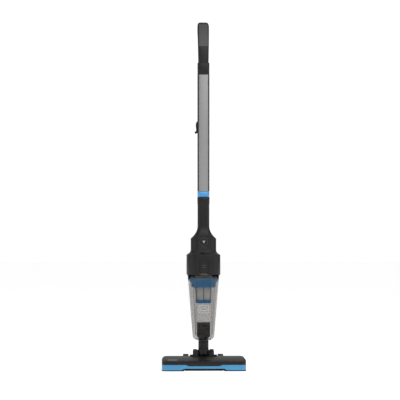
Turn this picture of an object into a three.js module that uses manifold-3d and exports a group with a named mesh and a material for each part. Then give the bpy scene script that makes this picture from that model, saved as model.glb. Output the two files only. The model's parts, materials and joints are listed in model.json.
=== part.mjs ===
// Cordless stick vacuum: floor head, tilting neck, clear dust bin, hand unit, wand and handle.
// Millimetres, +Z up. The front of the vacuum faces -Y. The origin is on the floor, under the wand's axis.

import * as THREE from 'three';
import { mergeVertices } from 'three/addons/utils/BufferGeometryUtils.js';
import Module from 'manifold-3d';

const wasm = await Module();
wasm.setup();

// ---------------------------------------------------------------- driving dimensions

const GAP = 0.3; // left between faces that touch
const WALL = 2.4; // moulded shells
const FAR = 400; // reach of a cutting block that only has to be big enough

const TOTAL_HEIGHT = 1110;

const HEAD = {
  halfWidth: 133,
  front: -78,
  rear: 26,
  top: 44,
  brow: 30, // top of the upright front face
  cornerAcross: 14, // rounding at the two top corners, seen from the front
  cornerHigh: 12,
  cornerRadius: 14, // front corners, seen from above
  bumperTop: 20,
  bumperDip: 4, // how far the bumper's top edge drops in the middle
  mouthHeight: 8.2, // air gap under the middle of the bumper
  mouthHalfWidth: 64,
  soleThickness: 3,
};

const BRUSH = { y: -46, z: 17, coreRadius: 8.5, bristleRadius: 15.6, left: -103, right: 112 };
const BRUSH_PULLEY_RADIUS = 9;
const MOTOR_PULLEY_RADIUS = 4.5;
const BRUSH_MOTOR = { y: -6, z: 17, radius: 11.5, left: -98, right: -52 };
const BELT = { left: -114, right: -107, thickness: 1.4 };

const WHEEL = { radius: 24.5, width: 17, x: 55.5, y: 34, boreRadius: 2.9 };
const AXLE_RADIUS = 2.5;

const PIVOT = { y: 12, z: 48, pinRadius: 4 };
const NECK_RADIUS = 16.3;
const NECK = { drumRadius: 15.6, drumHalfWidth: 19.1, top: 66, boreRadius: 11 };
const SLEEVE = { bottom: 66.3, top: 92, boreRadius: 12.9 };
const NOZZLE_RADIUS = 12.5;

const BIN = {
  bottom: 95,
  top: 302.7,
  wall: 2.2,
  topHalfWidth: 50.4,
  bottomHalfWidth: 33.6,
  flatHalfWidth: 24, // flat front panel
  topFront: -49,
  topRear: 49,
  bottomFront: -33,
  bottomRear: 30,
};

const HOUSING = {
  bottom: 303,
  shoulder: 366.5,
  halfWidth: 53.2,
  front: -50,
  rear: 62,
  corner: 30,
};
const UPPER_BODY = { bottom: 381, top: 418, halfWidth: 40.3, front: -35, rear: 41, corner: 22 };
const GRIP_NECK = {
  bottom: 457,
  step: 528,
  top: 551,
  halfWidth: 18.5,
  halfDepth: 18.5,
  collarHalf: 19.1,
  corner: 9,
};
const SPLIT_Y = 2; // parting plane between front and rear shells

const BLUE_COLLAR = { bottom: 551.3, top: 567.7 };
const WAND = { bottom: 568, top: 940.7, halfWidth: 18.9, halfDepth: 15, corner: 6, wall: 1.8 };
const STRIP = { halfWidth: 14.2, thickness: 1.2 };
const CLIP = { bottom: 752, top: 792 };

const HANDLE = {
  collarTop: 978,
  bottom: 978.3,
  halfWidth: 16.3,
  topHalfWidth: 18.9,
  halfDepth: 14.5,
  corner: 6,
};

const FAN = { y: -11, bottom: 306, top: 328, radius: 28.5 };
const MOTOR = { y: -11, bottom: 333, top: 385, radius: 20 };
const CELL = { radius: 9.2, length: 65 };

// ---------------------------------------------------------------- materials

function finish(color, roughness, metalness = 0, opacity = 1) {
  return new THREE.MeshStandardMaterial({
    color,
    roughness,
    metalness,
    opacity,
    transparent: opacity < 1,
  });
}

const FINISH = {
  blackPlastic: finish(0x282828, 0.5),
  darkPlastic: finish(0x1c1c1d, 0.6),
  softGrip: finish(0x5b5b5b, 0.8),
  bluePlastic: finish(0x4fa0da, 0.35),
  greyMetal: finish(0x9a9a9a, 0.4, 0.6),
  darkMetal: finish(0x2c2c2c, 0.4, 0.5),
  steel: finish(0xb5b8ba, 0.3, 1),
  brass: finish(0xb9953f, 0.35, 1),
  rubber: finish(0x171717, 0.9),
  tyre: finish(0x1f1f20, 0.85),
  clearBin: finish(0x9aa0a2, 0.08, 0, 0.4),
  filterCloth: finish(0xd6d6d2, 0.95),
  bristle: finish(0x2d6fb0, 0.8),
  board: finish(0x1f5a38, 0.5),
  cellWrap: finish(0x3c6f9e, 0.45),
  lamp: finish(0xb9bdc0, 0.3),
};

// ---------------------------------------------------------------- solids and placing

/** Turns a closed three.js geometry into a solid that can be joined and cut. */
function solid(geometry) {
  const bare = geometry.index ? geometry.toNonIndexed() : geometry.clone();
  bare.deleteAttribute('normal');
  bare.deleteAttribute('uv');
  const merged = mergeVertices(bare, 1e-4);
  const vertProperties = new Float32Array(merged.attributes.position.array);
  const triVerts = new Uint32Array(merged.index.array);
  return new wasm.Manifold(new wasm.Mesh({ numProp: 3, vertProperties, triVerts }));
}

/** Turns a solid back into a three.js geometry. */
function geometryOf(body) {
  const mesh = body.getMesh();
  const geometry = new THREE.BufferGeometry();
  geometry.setAttribute('position', new THREE.BufferAttribute(new Float32Array(mesh.vertProperties), 3));
  geometry.setIndex(new THREE.BufferAttribute(new Uint32Array(mesh.triVerts), 1));
  geometry.computeVertexNormals();
  return geometry;
}

const group = new THREE.Group();

/** Adds one named piece to the vacuum. */
function piece(name, body, material) {
  const mesh = new THREE.Mesh(geometryOf(body), material);
  mesh.name = name;
  group.add(mesh);
  return mesh;
}

/** A block between two corners. */
function block([x0, y0, z0], [x1, y1, z1]) {
  const geometry = new THREE.BoxGeometry(x1 - x0, y1 - y0, z1 - z0);
  geometry.translate((x0 + x1) / 2, (y0 + y1) / 2, (z0 + z1) / 2);
  return solid(geometry);
}

/** A round rod between two points; radiusEnd makes it a cone. */
function rod(start, end, radius, sides = 24, radiusEnd = radius) {
  const from = new THREE.Vector3(...start);
  const to = new THREE.Vector3(...end);
  const along = to.clone().sub(from);
  const geometry = new THREE.CylinderGeometry(radiusEnd, radius, along.length(), sides);
  const up = new THREE.Vector3(0, 1, 0);
  const turn = new THREE.Quaternion().setFromUnitVectors(up, along.clone().normalize());
  geometry.applyQuaternion(turn);
  geometry.translate(...from.add(to).multiplyScalar(0.5).toArray());
  return solid(geometry);
}

/** A tube between two points. */
function pipe(start, end, radius, bore, sides = 24) {
  const reach = new THREE.Vector3(...end).sub(new THREE.Vector3(...start)).normalize();
  const past = (point, way) => point.map((value, axis) => value + way * reach.getComponent(axis));
  return rod(start, end, radius, sides).subtract(rod(past(start, -1), past(end, 1), bore, sides));
}

/** An outline given thickness along its own normal. */
function extrusion(shape, depth) {
  return new THREE.ExtrudeGeometry(shape, { depth, bevelEnabled: false, curveSegments: 6 });
}

/** An outline in the X-Z plane, made solid between two values of Y. */
function slabAcrossY(shape, yFrom, yTo) {
  const geometry = extrusion(shape, yTo - yFrom);
  geometry.rotateX(Math.PI / 2);
  geometry.translate(0, yTo, 0);
  return solid(geometry);
}

/** An outline in the Y-Z plane, made solid between two values of X. */
function slabAcrossX(shape, xFrom, xTo) {
  const geometry = extrusion(shape, xTo - xFrom);
  const turn = new THREE.Matrix4().makeBasis(
    new THREE.Vector3(0, 1, 0),
    new THREE.Vector3(0, 0, 1),
    new THREE.Vector3(1, 0, 0),
  );
  geometry.applyMatrix4(turn);
  geometry.translate(xFrom, 0, 0);
  return solid(geometry);
}

/** An outline in the X-Y plane, made solid between two heights. */
function slabAcrossZ(shape, zFrom, zTo) {
  const geometry = extrusion(shape, zTo - zFrom);
  geometry.translate(0, 0, zFrom);
  return solid(geometry);
}

/** Points round a rectangle with rounded corners, as [across, deep] pairs, anticlockwise. */
function roundedOutline(halfWidth, near, far, corner, steps = 4) {
  const centres = [
    [halfWidth - corner, near + corner, -90],
    [halfWidth - corner, far - corner, 0],
    [corner - halfWidth, far - corner, 90],
    [corner - halfWidth, near + corner, 180],
  ];
  return centres.flatMap(([x, y, startDegrees]) =>
    Array.from({ length: steps + 1 }, (_, step) => {
      const angle = THREE.MathUtils.degToRad(startDegrees + (90 * step) / steps);
      return [x + corner * Math.cos(angle), y + corner * Math.sin(angle)];
    }),
  );
}

/** A level ring of points at one height. */
function levelRing(outline, z) {
  return outline.map(([x, y]) => new THREE.Vector3(x, y, z));
}

/** Skins a stack of rings with the same number of points, and closes both ends. */
function loft(rings) {
  const count = rings[0].length;
  const points = rings.flat();
  const indices = [];
  for (let level = 0; level < rings.length - 1; level += 1) {
    for (let i = 0; i < count; i += 1) {
      const a = level * count + i;
      const b = level * count + ((i + 1) % count);
      indices.push(a, b, b + count, a, b + count, a + count);
    }
  }
  const centreOf = (ring) => ring.reduce((sum, p) => sum.add(p), new THREE.Vector3()).divideScalar(count);
  const bottomCentre = points.push(centreOf(rings[0])) - 1;
  const topCentre = points.push(centreOf(rings[rings.length - 1])) - 1;
  const lastRing = (rings.length - 1) * count;
  for (let i = 0; i < count; i += 1) {
    const next = (i + 1) % count;
    indices.push(bottomCentre, next, i);
    indices.push(topCentre, lastRing + i, lastRing + next);
  }
  const geometry = new THREE.BufferGeometry().setFromPoints(points);
  geometry.setIndex(indices);
  return solid(geometry);
}

/** Keeps the part of a body in front of (or behind) the shells' parting plane. */
function halfOf(body, side) {
  const frontHalf = block([-FAR, -FAR, -10], [FAR, SPLIT_Y - GAP / 2, TOTAL_HEIGHT + 10]);
  const rearHalf = block([-FAR, SPLIT_Y + GAP / 2, -10], [FAR, FAR, TOTAL_HEIGHT + 10]);
  return body.intersect(side === 'front' ? frontHalf : rearHalf);
}

/** A closed outline from straight corners. */
function outlineOf(corners) {
  const shape = new THREE.Shape();
  corners.forEach(([u, v], index) => (index === 0 ? shape.moveTo(u, v) : shape.lineTo(u, v)));
  shape.closePath();
  return shape;
}

// ---------------------------------------------------------------- floor head

/** The head's side profile, drawn a little inside the outer surface when inset is given. */
function headProfile(inset = 0, bottom = 0) {
  const shape = new THREE.Shape();
  shape.moveTo(HEAD.front + inset, bottom);
  shape.lineTo(HEAD.front + inset, HEAD.brow - inset * 0.6);
  shape.quadraticCurveTo(-52, HEAD.top - 4 - inset, -16, HEAD.top - inset);
  shape.lineTo(12 - inset * 0.5, HEAD.top - inset);
  shape.lineTo(HEAD.rear - inset, 30 - inset * 0.5);
  shape.lineTo(HEAD.rear - inset, bottom);
  shape.closePath();
  return shape;
}

/** The head's outline seen from the front: a rectangle with its two top corners rounded off. */
function headFrontOutline(inset = 0) {
  const side = HEAD.halfWidth - inset;
  const top = HEAD.top - inset;
  const across = HEAD.cornerAcross;
  const high = HEAD.cornerHigh;
  const shape = new THREE.Shape();
  shape.moveTo(-side, -1);
  shape.lineTo(side, -1);
  shape.lineTo(side, top - high);
  shape.quadraticCurveTo(side - across * 0.15, top - high * 0.15, side - across, top);
  shape.lineTo(across - side, top);
  shape.quadraticCurveTo(across * 0.15 - side, top - high * 0.15, -side, top - high);
  shape.closePath();
  return shape;
}

/** The head's outline seen from above, with rounded front corners. */
function headPlan(inset = 0) {
  const side = HEAD.halfWidth - inset;
  const front = HEAD.front + inset;
  const radius = HEAD.cornerRadius - inset;
  const shape = new THREE.Shape();
  shape.moveTo(side, HEAD.rear - inset);
  shape.lineTo(-side, HEAD.rear - inset);
  shape.lineTo(-side, front + radius);
  shape.absarc(radius - side, front + radius, radius, Math.PI, 1.5 * Math.PI);
  shape.lineTo(side - radius, front);
  shape.absarc(side - radius, front + radius, radius, 1.5 * Math.PI, 2 * Math.PI);
  shape.closePath();
  return shape;
}

/** The whole head as one block, used to cut every head piece to the same outer shape. */
function headBlock(inset = 0) {
  const profile = slabAcrossX(headProfile(inset), -FAR, FAR);
  const fromFront = slabAcrossY(headFrontOutline(inset), -FAR, FAR);
  const fromAbove = slabAcrossZ(headPlan(inset), -1, HEAD.top + 1);
  return profile.intersect(fromFront).intersect(fromAbove);
}

/** The band in front view that belongs to the bumper: its top edge dips in the middle. */
function bumperBand(margin) {
  const top = HEAD.bumperTop + margin;
  const dip = top - HEAD.bumperDip;
  const mouth = HEAD.mouthHeight - margin;
  const bottom = HEAD.soleThickness + GAP - margin;
  const inMouth = HEAD.mouthHalfWidth;
  const outMouth = inMouth + 8;
  return outlineOf([
    [-FAR, bottom], [-outMouth, bottom], [-inMouth, mouth],
    [inMouth, mouth], [outMouth, bottom], [FAR, bottom],
    [FAR, top], [58, top], [48, dip], [-48, dip], [-58, top], [-FAR, top],
  ]);
}

const BUMPER_DEPTH = 4; // how thick the bumper is, front to back
const BUMPER_REACH = -22; // how far back it wraps round the ends
const WHEEL_ROOM = 1.8; // clear space round each wheel

/** Room round both rear wheels. */
function wheelRoom() {
  const rooms = [-1, 1].map((side) => {
    const inner = side * (WHEEL.x - WHEEL.width / 2 - WHEEL_ROOM);
    const outer = side * (WHEEL.x + WHEEL.width / 2 + WHEEL_ROOM);
    return rod([inner, WHEEL.y, WHEEL.radius], [outer, WHEEL.y, WHEEL.radius], WHEEL.radius + WHEEL_ROOM, 28);
  });
  return rooms[0].add(rooms[1]);
}

/** Room for the brackets that hold each wheel's axle. */
function bracketRoom() {
  const reach = WHEEL.width / 2 + 6;
  const rooms = [-1, 1].map((side) =>
    block(
      [side * WHEEL.x - reach, HEAD.rear - 9.5, 0],
      [side * WHEEL.x + reach, FAR, WHEEL.radius + 6 + GAP],
    ),
  );
  return rooms[0].add(rooms[1]);
}

/** The slot in the middle of the head where the neck's drum turns and tilts back. */
function neckRoom() {
  const halfSlot = NECK.drumHalfWidth + 1.2;
  const reach = NECK.drumRadius + 1.5;
  return block([-halfSlot, PIVOT.y - reach, 28], [halfSlot, HEAD.rear + 5, HEAD.top + 5]);
}

function makeBumper() {
  const band = slabAcrossY(bumperBand(0), HEAD.front - 5, BUMPER_REACH);
  const skin = headBlock(0).subtract(headBlock(BUMPER_DEPTH));
  piece('front_bumper', skin.intersect(band), FINISH.bluePlastic);
}

function makeTopCover() {
  const soleTop = HEAD.soleThickness + GAP;
  const hollowFront = HEAD.front + BUMPER_DEPTH + WALL + GAP;
  const outer = headBlock(0).intersect(block([-FAR, -FAR, soleTop], [FAR, FAR, FAR]));
  const hollow = headBlock(WALL).intersect(block([-FAR, hollowFront, -5], [FAR, FAR, FAR]));
  const bumperSkin = headBlock(-1).subtract(headBlock(BUMPER_DEPTH + GAP));
  const bumperRoom = bumperSkin.intersect(slabAcrossY(bumperBand(GAP), HEAD.front - 5, BUMPER_REACH + GAP));
  const mouthHalf = HEAD.mouthHalfWidth + 4;
  const mouth = block([-mouthHalf, -FAR, 0], [mouthHalf, BRUSH.y, HEAD.mouthHeight - GAP]);
  const shell = outer.subtract(hollow).subtract(bumperRoom).subtract(mouth);
  const openings = wheelRoom().add(bracketRoom()).add(neckRoom());
  piece('head_top_cover', shell.subtract(openings), FINISH.blackPlastic);
}

/** The sole plate, with the slot that the brush reaches the floor through, and the wheel brackets. */
function makeBase() {
  const plate = headBlock(0).intersect(block([-FAR, -FAR, 0], [FAR, FAR, HEAD.soleThickness]));
  const brushSlot = block([-114, -64, -5], [114, -28, 10]);
  const mouth = block([-HEAD.mouthHalfWidth, -FAR, -5], [HEAD.mouthHalfWidth, -63, 10]);
  let base = plate.subtract(brushSlot).subtract(mouth);
  const ductFloor = block([-30, -27, 1], [30, 22, HEAD.soleThickness + 3]);
  base = base.add(ductFloor);
  for (const side of [-1, 1]) {
    for (const arm of [WHEEL.x - WHEEL.width / 2 - 5.5, WHEEL.x + WHEEL.width / 2 + 1.5]) {
      const inner = side > 0 ? arm : -arm - 4;
      const foot = block([inner, 4, 1], [inner + 4, HEAD.rear - WALL - 1, 9]);
      const bracket = block([inner, HEAD.rear - WALL - 6, 3.6], [inner + 4, WHEEL.y + 6, WHEEL.radius + 6]);
      const lowCut = block([inner - 1, HEAD.rear - WALL - 1, 0], [inner + 5, FAR, WHEEL.radius - 6]);
      base = base.add(foot).add(bracket.subtract(lowCut));
    }
    const from = [side * (WHEEL.x - 20), WHEEL.y, WHEEL.radius];
    const to = [side * (WHEEL.x + 20), WHEEL.y, WHEEL.radius];
    base = base.subtract(rod(from, to, AXLE_RADIUS + GAP));
  }
  piece('head_base', base.subtract(wheelRoom()).subtract(lintStrip(GAP)), FINISH.darkPlastic);
  piece('lint_strip', lintStrip(0), FINISH.rubber);
}

/** A bristle strip wound half a turn round the brush core. */
function bristleStrip(startDegrees) {
  const steps = 30;
  const halfThickness = 1.3;
  const inner = BRUSH.coreRadius + GAP;
  const rings = Array.from({ length: steps + 1 }, (_, step) => {
    const share = step / steps;
    const x = THREE.MathUtils.lerp(BRUSH.left + 3, BRUSH.right - 4, share);
    const angle = THREE.MathUtils.degToRad(startDegrees + 180 * share);
    const out = new THREE.Vector3(0, Math.cos(angle), Math.sin(angle));
    const side = new THREE.Vector3(0, -Math.sin(angle), Math.cos(angle));
    const corner = (radius, offset) =>
      new THREE.Vector3(x, BRUSH.y, BRUSH.z).addScaledVector(out, radius).addScaledVector(side, offset);
    return [
      corner(inner, -halfThickness),
      corner(BRUSH.bristleRadius, -halfThickness),
      corner(BRUSH.bristleRadius, halfThickness),
      corner(inner, halfThickness),
    ];
  });
  return loft(rings);
}

function makeBrush() {
  const at = (x) => [x, BRUSH.y, BRUSH.z];
  const core = rod(at(BRUSH.left), at(BRUSH.right), BRUSH.coreRadius, 32);
  const stubs = rod(at(BRUSH.left - 20), at(BRUSH.right + 8), 3, 20);
  piece('brush_core', core.add(stubs), FINISH.darkPlastic);
  piece('bristle_strip_1', bristleStrip(20), FINISH.bristle);
  piece('bristle_strip_2', bristleStrip(200), FINISH.bristle);
  const pulley = pipe(at(BELT.left), at(BELT.right), BRUSH_PULLEY_RADIUS, 3 + GAP, 32);
  piece('brush_pulley', pulley, FINISH.darkPlastic);
  for (const [name, from, to] of [
    ['brush_bearing_left', BRUSH.left - 21, BRUSH.left - 13],
    ['brush_bearing_right', BRUSH.right + 2, BRUSH.right + 9],
  ]) {
    const bush = pipe(at(from), at(to), 8, 3 + GAP, 28);
    const foot = block([from, BRUSH.y - 6, HEAD.soleThickness + 1], [to, BRUSH.y + 6, BRUSH.z - 6]);
    piece(name, bush.add(foot), FINISH.brass);
  }
}

/** The closed outline of a belt round its two pulleys, in the Y-Z plane. */
function beltOutline(extra) {
  const shape = new THREE.Shape();
  const angle = Math.atan2(BRUSH_MOTOR.z - BRUSH.z, BRUSH_MOTOR.y - BRUSH.y);
  const reach = Math.hypot(BRUSH_MOTOR.z - BRUSH.z, BRUSH_MOTOR.y - BRUSH.y);
  const lean = Math.acos((BRUSH_PULLEY_RADIUS - MOTOR_PULLEY_RADIUS) / reach);
  shape.absarc(BRUSH.y, BRUSH.z, BRUSH_PULLEY_RADIUS + extra, angle + lean, angle - lean + 2 * Math.PI);
  shape.absarc(BRUSH_MOTOR.y, BRUSH_MOTOR.z, MOTOR_PULLEY_RADIUS + extra, angle - lean, angle + lean);
  shape.closePath();
  return shape;
}

function makeDrive() {
  const at = (x) => [x, BRUSH_MOTOR.y, BRUSH_MOTOR.z];
  const can = rod(at(BRUSH_MOTOR.left), at(BRUSH_MOTOR.right), BRUSH_MOTOR.radius, 28);
  const bore = rod(at(BRUSH_MOTOR.left - 1), at(BRUSH_MOTOR.left + 12), 1.5 + GAP, 16);
  piece('brush_motor', can.subtract(bore), FINISH.steel);
  const shaft = rod(at(BELT.left - 2), at(BRUSH_MOTOR.left + 10), 1.5, 16);
  const pulley = rod(at(BELT.left), at(BELT.right), MOTOR_PULLEY_RADIUS, 20);
  piece('motor_pulley', shaft.add(pulley), FINISH.brass);
  const belt = slabAcrossX(beltOutline(GAP + BELT.thickness), BELT.left + 0.5, BELT.right - 0.5);
  const inside = slabAcrossX(beltOutline(GAP), BELT.left - 1, BELT.right + 1);
  piece('drive_belt', belt.subtract(inside), FINISH.rubber);
}

function makeWheels() {
  for (const [name, side] of [['left', -1], ['right', 1]]) {
    const at = (x) => [side * x, WHEEL.y, WHEEL.radius];
    const inner = WHEEL.x - WHEEL.width / 2;
    const outer = WHEEL.x + WHEEL.width / 2;
    const tyre = rod(at(inner), at(outer), WHEEL.radius, 32);
    const bore = rod(at(inner - 1), at(outer + 1), WHEEL.boreRadius, 16);
    const dish = pipe(at(outer - 2), at(outer + 1), WHEEL.radius - 5, 7, 24);
    piece(`rear_wheel_${name}`, tyre.subtract(bore).subtract(dish), FINISH.tyre);
    const pin = rod(at(inner - 5), at(outer + 6.5), AXLE_RADIUS, 20);
    const cap = rod(at(outer + 5.5 + GAP), at(outer + 7.5), 4.5, 20);
    piece(`wheel_axle_${name}`, pin.add(cap), FINISH.steel);
  }
}

/** A soft strip let into the sole behind the brush slot, which picks up lint; extra widens it. */
function lintStrip(extra) {
  return block([-110 - extra, -25.5 - extra, 0.3 - 10 * extra], [-34 + extra, -22.5 + extra, 1.6 + extra]);
}

// ---------------------------------------------------------------- neck

/** The two brackets on the head, and the pins that the neck's drum turns on. */
function makePivot() {
  const at = (x) => [x, PIVOT.y, PIVOT.z];
  for (const [name, side] of [['left', -1], ['right', 1]]) {
    const between = (near, far) => [side * near, side * far].sort((a, b) => a - b);
    const [low, high] = between(19.4, 33.5);
    const [earLow, earHigh] = between(20.4, 32.6);
    const [footLow, footHigh] = between(30, 43);
    const cheek = outlineOf([[-14, 44.3], [12, 44.3], [20, 46], [20, 56], [15, 61.7], [-6, 61.7], [-14, 54]]);
    const ear = outlineOf([[2, 46], [19, 46], [19, 62], [16, 65], [5, 65], [2, 62]]);
    const pinHole = rod(at(side * 10), at(side * 40), PIVOT.pinRadius + GAP);
    const foot = block([footLow, -12, HEAD.top + GAP], [footHigh, 10, HEAD.top + 4.2]);
    const bracket = slabAcrossX(cheek, low, high).add(slabAcrossX(ear, earLow, earHigh)).add(foot);
    piece(`pivot_bracket_${name}`, bracket.subtract(pinHole), FINISH.blackPlastic);
    piece(`pivot_pin_${name}`, rod(at(side * 12.6), at(side * 31), PIVOT.pinRadius), FINISH.steel);
  }
}

function makeNeck() {
  const at = (x) => [x, PIVOT.y, PIVOT.z];
  const drum = rod(at(-NECK.drumHalfWidth), at(NECK.drumHalfWidth), NECK.drumRadius, 28);
  const stem = rod([0, 0, PIVOT.z - 2], [0, 0, NECK.top], NECK_RADIUS, 28);
  const lid = rod([0, 0, NECK.top - 0.1], [0, 0, NECK.top + 4], SLEEVE.boreRadius + 1.4, 28);
  const duct = rod([0, 0, 40], [0, 0, NECK.top + 10], NECK.boreRadius, 20);
  const ductOut = rod([0, 2, 46], [0, -30, 38], NECK.boreRadius - 2, 16);
  const pinBore = (from, to) => rod(at(from), at(to), PIVOT.pinRadius + GAP);
  const pinBores = pinBore(-40, -12).add(pinBore(12, 40));
  const elbow = drum.add(stem).add(lid).subtract(duct).subtract(ductOut).subtract(pinBores);
  piece('neck_elbow', elbow, FINISH.blackPlastic);

  const collar = rod([0, 0, SLEEVE.bottom], [0, 0, SLEEVE.top], NECK_RADIUS, 32);
  const step = rod([0, 0, SLEEVE.bottom - 1], [0, 0, NECK.top + 4 + GAP], SLEEVE.boreRadius + 1.4 + GAP, 32);
  const bore = rod([0, 0, SLEEVE.bottom - 1], [0, 0, SLEEVE.top + 1], SLEEVE.boreRadius, 28);
  const buttonRoom = block([-5.3, 8, 76.7], [5.3, 30, 87.3]);
  piece('swivel_sleeve', collar.subtract(step).subtract(bore).subtract(buttonRoom), FINISH.blackPlastic);
  const button = block([-5, 14.6, 77], [5, 17.8, 87]);
  piece('head_release_button', button, FINISH.bluePlastic);
}

// ---------------------------------------------------------------- dust bin

/** The bin's outline at one height: a flat front panel, slanted front corners and a rounded rear. */
function binOutline(share, inset = 0) {
  const lerp = THREE.MathUtils.lerp;
  const side = lerp(BIN.bottomHalfWidth, BIN.topHalfWidth, share) - inset;
  const front = lerp(BIN.bottomFront, BIN.topFront, share) + inset;
  const rear = lerp(BIN.bottomRear, BIN.topRear, share) - inset;
  const flat = BIN.flatHalfWidth - inset * 0.4;
  const corner = 0.55 * (rear - 2);
  const rightFront = [
    [flat, front],
    [flat + 2.5, front + 1],
    [side - 3, front * 0.45],
    [side - 0.6, front * 0.25],
  ];
  const rightRear = Array.from({ length: 5 }, (_, step) => {
    const angle = (Math.PI / 8) * step;
    return [side - corner + corner * Math.cos(angle), rear - corner + corner * Math.sin(angle)];
  });
  const right = [...rightFront, [side, 0], ...rightRear];
  const left = right.map(([x, y]) => [-x, y]).reverse();
  return [...right, ...left];
}

/** A lofted body that follows the bin's taper, rounded off at its bottom. */
function binBody(inset, bottom, top) {
  const span = BIN.top - BIN.bottom;
  const shareAt = (z) => (z - BIN.bottom) / span;
  const rounding = 14;
  const levels = [0, 1, 2, 3, 4].map((step) => {
    const angle = (Math.PI / 2) * (step / 4);
    const z = bottom + rounding * (1 - Math.cos(angle));
    return levelRing(binOutline(shareAt(z), inset + rounding * 0.75 * (1 - Math.sin(angle))), z);
  });
  levels.push(levelRing(binOutline(shareAt(top), inset), top));
  return loft(levels);
}

const DUCT = { top: 151, shoulder: 113, halfWidth: 21.2, front: -16, rear: 16 };

/** The black inlet duct: a block inside the bin that narrows to the round nozzle below. */
function ductBody(inset) {
  const outline = roundedOutline(DUCT.halfWidth - inset, DUCT.front + inset, DUCT.rear - inset, 5 - inset, 5);
  const [bottom, top] = inset > 0 ? [DUCT.shoulder + 4, DUCT.top + 1] : [DUCT.shoulder - 8, DUCT.top];
  return loft([levelRing(outline, bottom), levelRing(outline, top)]);
}

function makeBin() {
  const outer = binBody(0, BIN.bottom, BIN.top);
  const inner = binBody(BIN.wall, BIN.bottom + BIN.wall, BIN.top + 1);
  const neckHole = rod([0, 0, BIN.bottom - 5], [0, 0, BIN.bottom + 12], NECK_RADIUS + GAP, 32);
  piece('dust_bin', outer.subtract(inner).subtract(neckHole), FINISH.clearBin);

  const funnel = rod([0, 0, BIN.bottom - 2], [0, 0, DUCT.shoulder - 7], NECK_RADIUS, 32);
  const nozzle = rod([0, 0, NECK.top + 5], [0, 0, BIN.bottom], NOZZLE_RADIUS, 28);
  const lip = rod([0, 0, SLEEVE.top + GAP], [0, 0, BIN.bottom + 3], NECK_RADIUS, 32);
  const bore = rod([0, 0, NECK.top], [0, 0, DUCT.shoulder + 6], NOZZLE_RADIUS - 1.8, 28);
  const duct = ductBody(0).add(funnel).add(nozzle).add(lip).subtract(ductBody(2.2)).subtract(bore);
  const hingeRoom = block([-18.6, 9.4, DUCT.top - 5], [18.6, 14, DUCT.top + 2]);
  piece('inlet_duct', duct.subtract(hingeRoom), FINISH.darkPlastic);

  const flap = block([-17, -12.4, DUCT.top - 2.4], [17, 9, DUCT.top - 0.6]);
  const barrel = rod([-16.4, 11.4, DUCT.top - 2], [16.4, 11.4, DUCT.top - 2], 1.7, 16);
  const web = block([-16.4, 8.5, DUCT.top - 2.4], [16.4, 11.4, DUCT.top - 1]);
  piece('inlet_flap', flap.add(barrel).add(web), FINISH.rubber);
}

// ---------------------------------------------------------------- filter

const FILTER = {
  sealBottom: 292,
  holderStep: 280.5,
  holderBottom: 263,
  sleeveBottom: 222.7,
  baseBottom: 212.4,
};

/** A plug that follows the bin's taper at a given distance inside the bin's outer wall. */
function binPlug(inset, low, high) {
  const shareAt = (z) => (z - BIN.bottom) / (BIN.top - BIN.bottom);
  return loft([low, high].map((z) => levelRing(binOutline(shareAt(z), inset), z)));
}

/** A round plug on the filter's axis, a little narrower front to back than side to side. */
function filterPlug(lowHalf, highHalf, low, high) {
  const ringAt = (half, z) => levelRing(roundedOutline(half, -half * 0.86, half * 0.86, half * 0.7, 5), z);
  return loft([ringAt(lowHalf, low), ringAt(highHalf, high)]);
}

function makeFilter() {
  const wallGap = BIN.wall + 1.1;
  const intakeRim = binPlug(wallGap, FILTER.sealBottom + 2 + GAP, BIN.top - GAP);
  const intakeBore = rod([0, FAN.y, FILTER.sealBottom], [0, FAN.y, FAN.bottom + 5], 20, 32);
  piece('intake_frame', intakeRim.subtract(intakeBore), FINISH.blackPlastic);

  const seal = binPlug(wallGap, FILTER.sealBottom, FILTER.sealBottom + 2);
  piece('filter_seal', seal.subtract(filterPlug(35, 35, FILTER.sealBottom - 5, BIN.top)), FINISH.rubber);

  const flange = binPlug(wallGap, FILTER.holderStep, FILTER.sealBottom - GAP);
  const skirt = binPlug(9, FILTER.holderBottom, FILTER.holderStep + 0.1);
  const well = filterPlug(32, 34, FILTER.holderBottom - 2, FILTER.sealBottom);
  piece('filter_holder', flange.add(skirt).subtract(well), FINISH.bluePlastic);

  const sleeve = filterPlug(26, 31.6, FILTER.sleeveBottom, FILTER.holderStep);
  const sleeveWell = filterPlug(22, 27.6, FILTER.sleeveBottom + 5, FILTER.holderStep + 1);
  piece('filter_sleeve', sleeve.subtract(sleeveWell), FINISH.filterCloth);
  const base = filterPlug(25, 26.5, FILTER.baseBottom, FILTER.sleeveBottom - GAP);
  piece('filter_base', base, FINISH.bluePlastic);
}

// ---------------------------------------------------------------- hand unit

/** A level rounded section of the hand unit. */
function section(z, halfWidth, front, rear, corner, inset = 0) {
  const radius = Math.max(corner - inset, 2);
  return levelRing(roundedOutline(halfWidth - inset, front + inset, rear - inset, radius, 4), z);
}

/** Rings that blend one section into a wider one below it along a hollow curve. */
function shoulderRings(upper, lower, steps, inset) {
  const blend = (a, b, share) => THREE.MathUtils.lerp(a, b, share);
  const curve = new THREE.QuadraticBezierCurve(
    new THREE.Vector2(0, upper.z),
    new THREE.Vector2(0, blend(upper.z, lower.z, 0.52)),
    new THREE.Vector2(1, lower.z),
  );
  return Array.from({ length: steps + 1 }, (_, step) => {
    const at = curve.getPoint(1 - step / steps);
    return section(
      at.y,
      blend(upper.halfWidth, lower.halfWidth, at.x),
      blend(upper.front, lower.front, at.x),
      blend(upper.rear, lower.rear, at.x),
      blend(upper.corner, lower.corner, at.x),
      inset,
    );
  });
}

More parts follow.
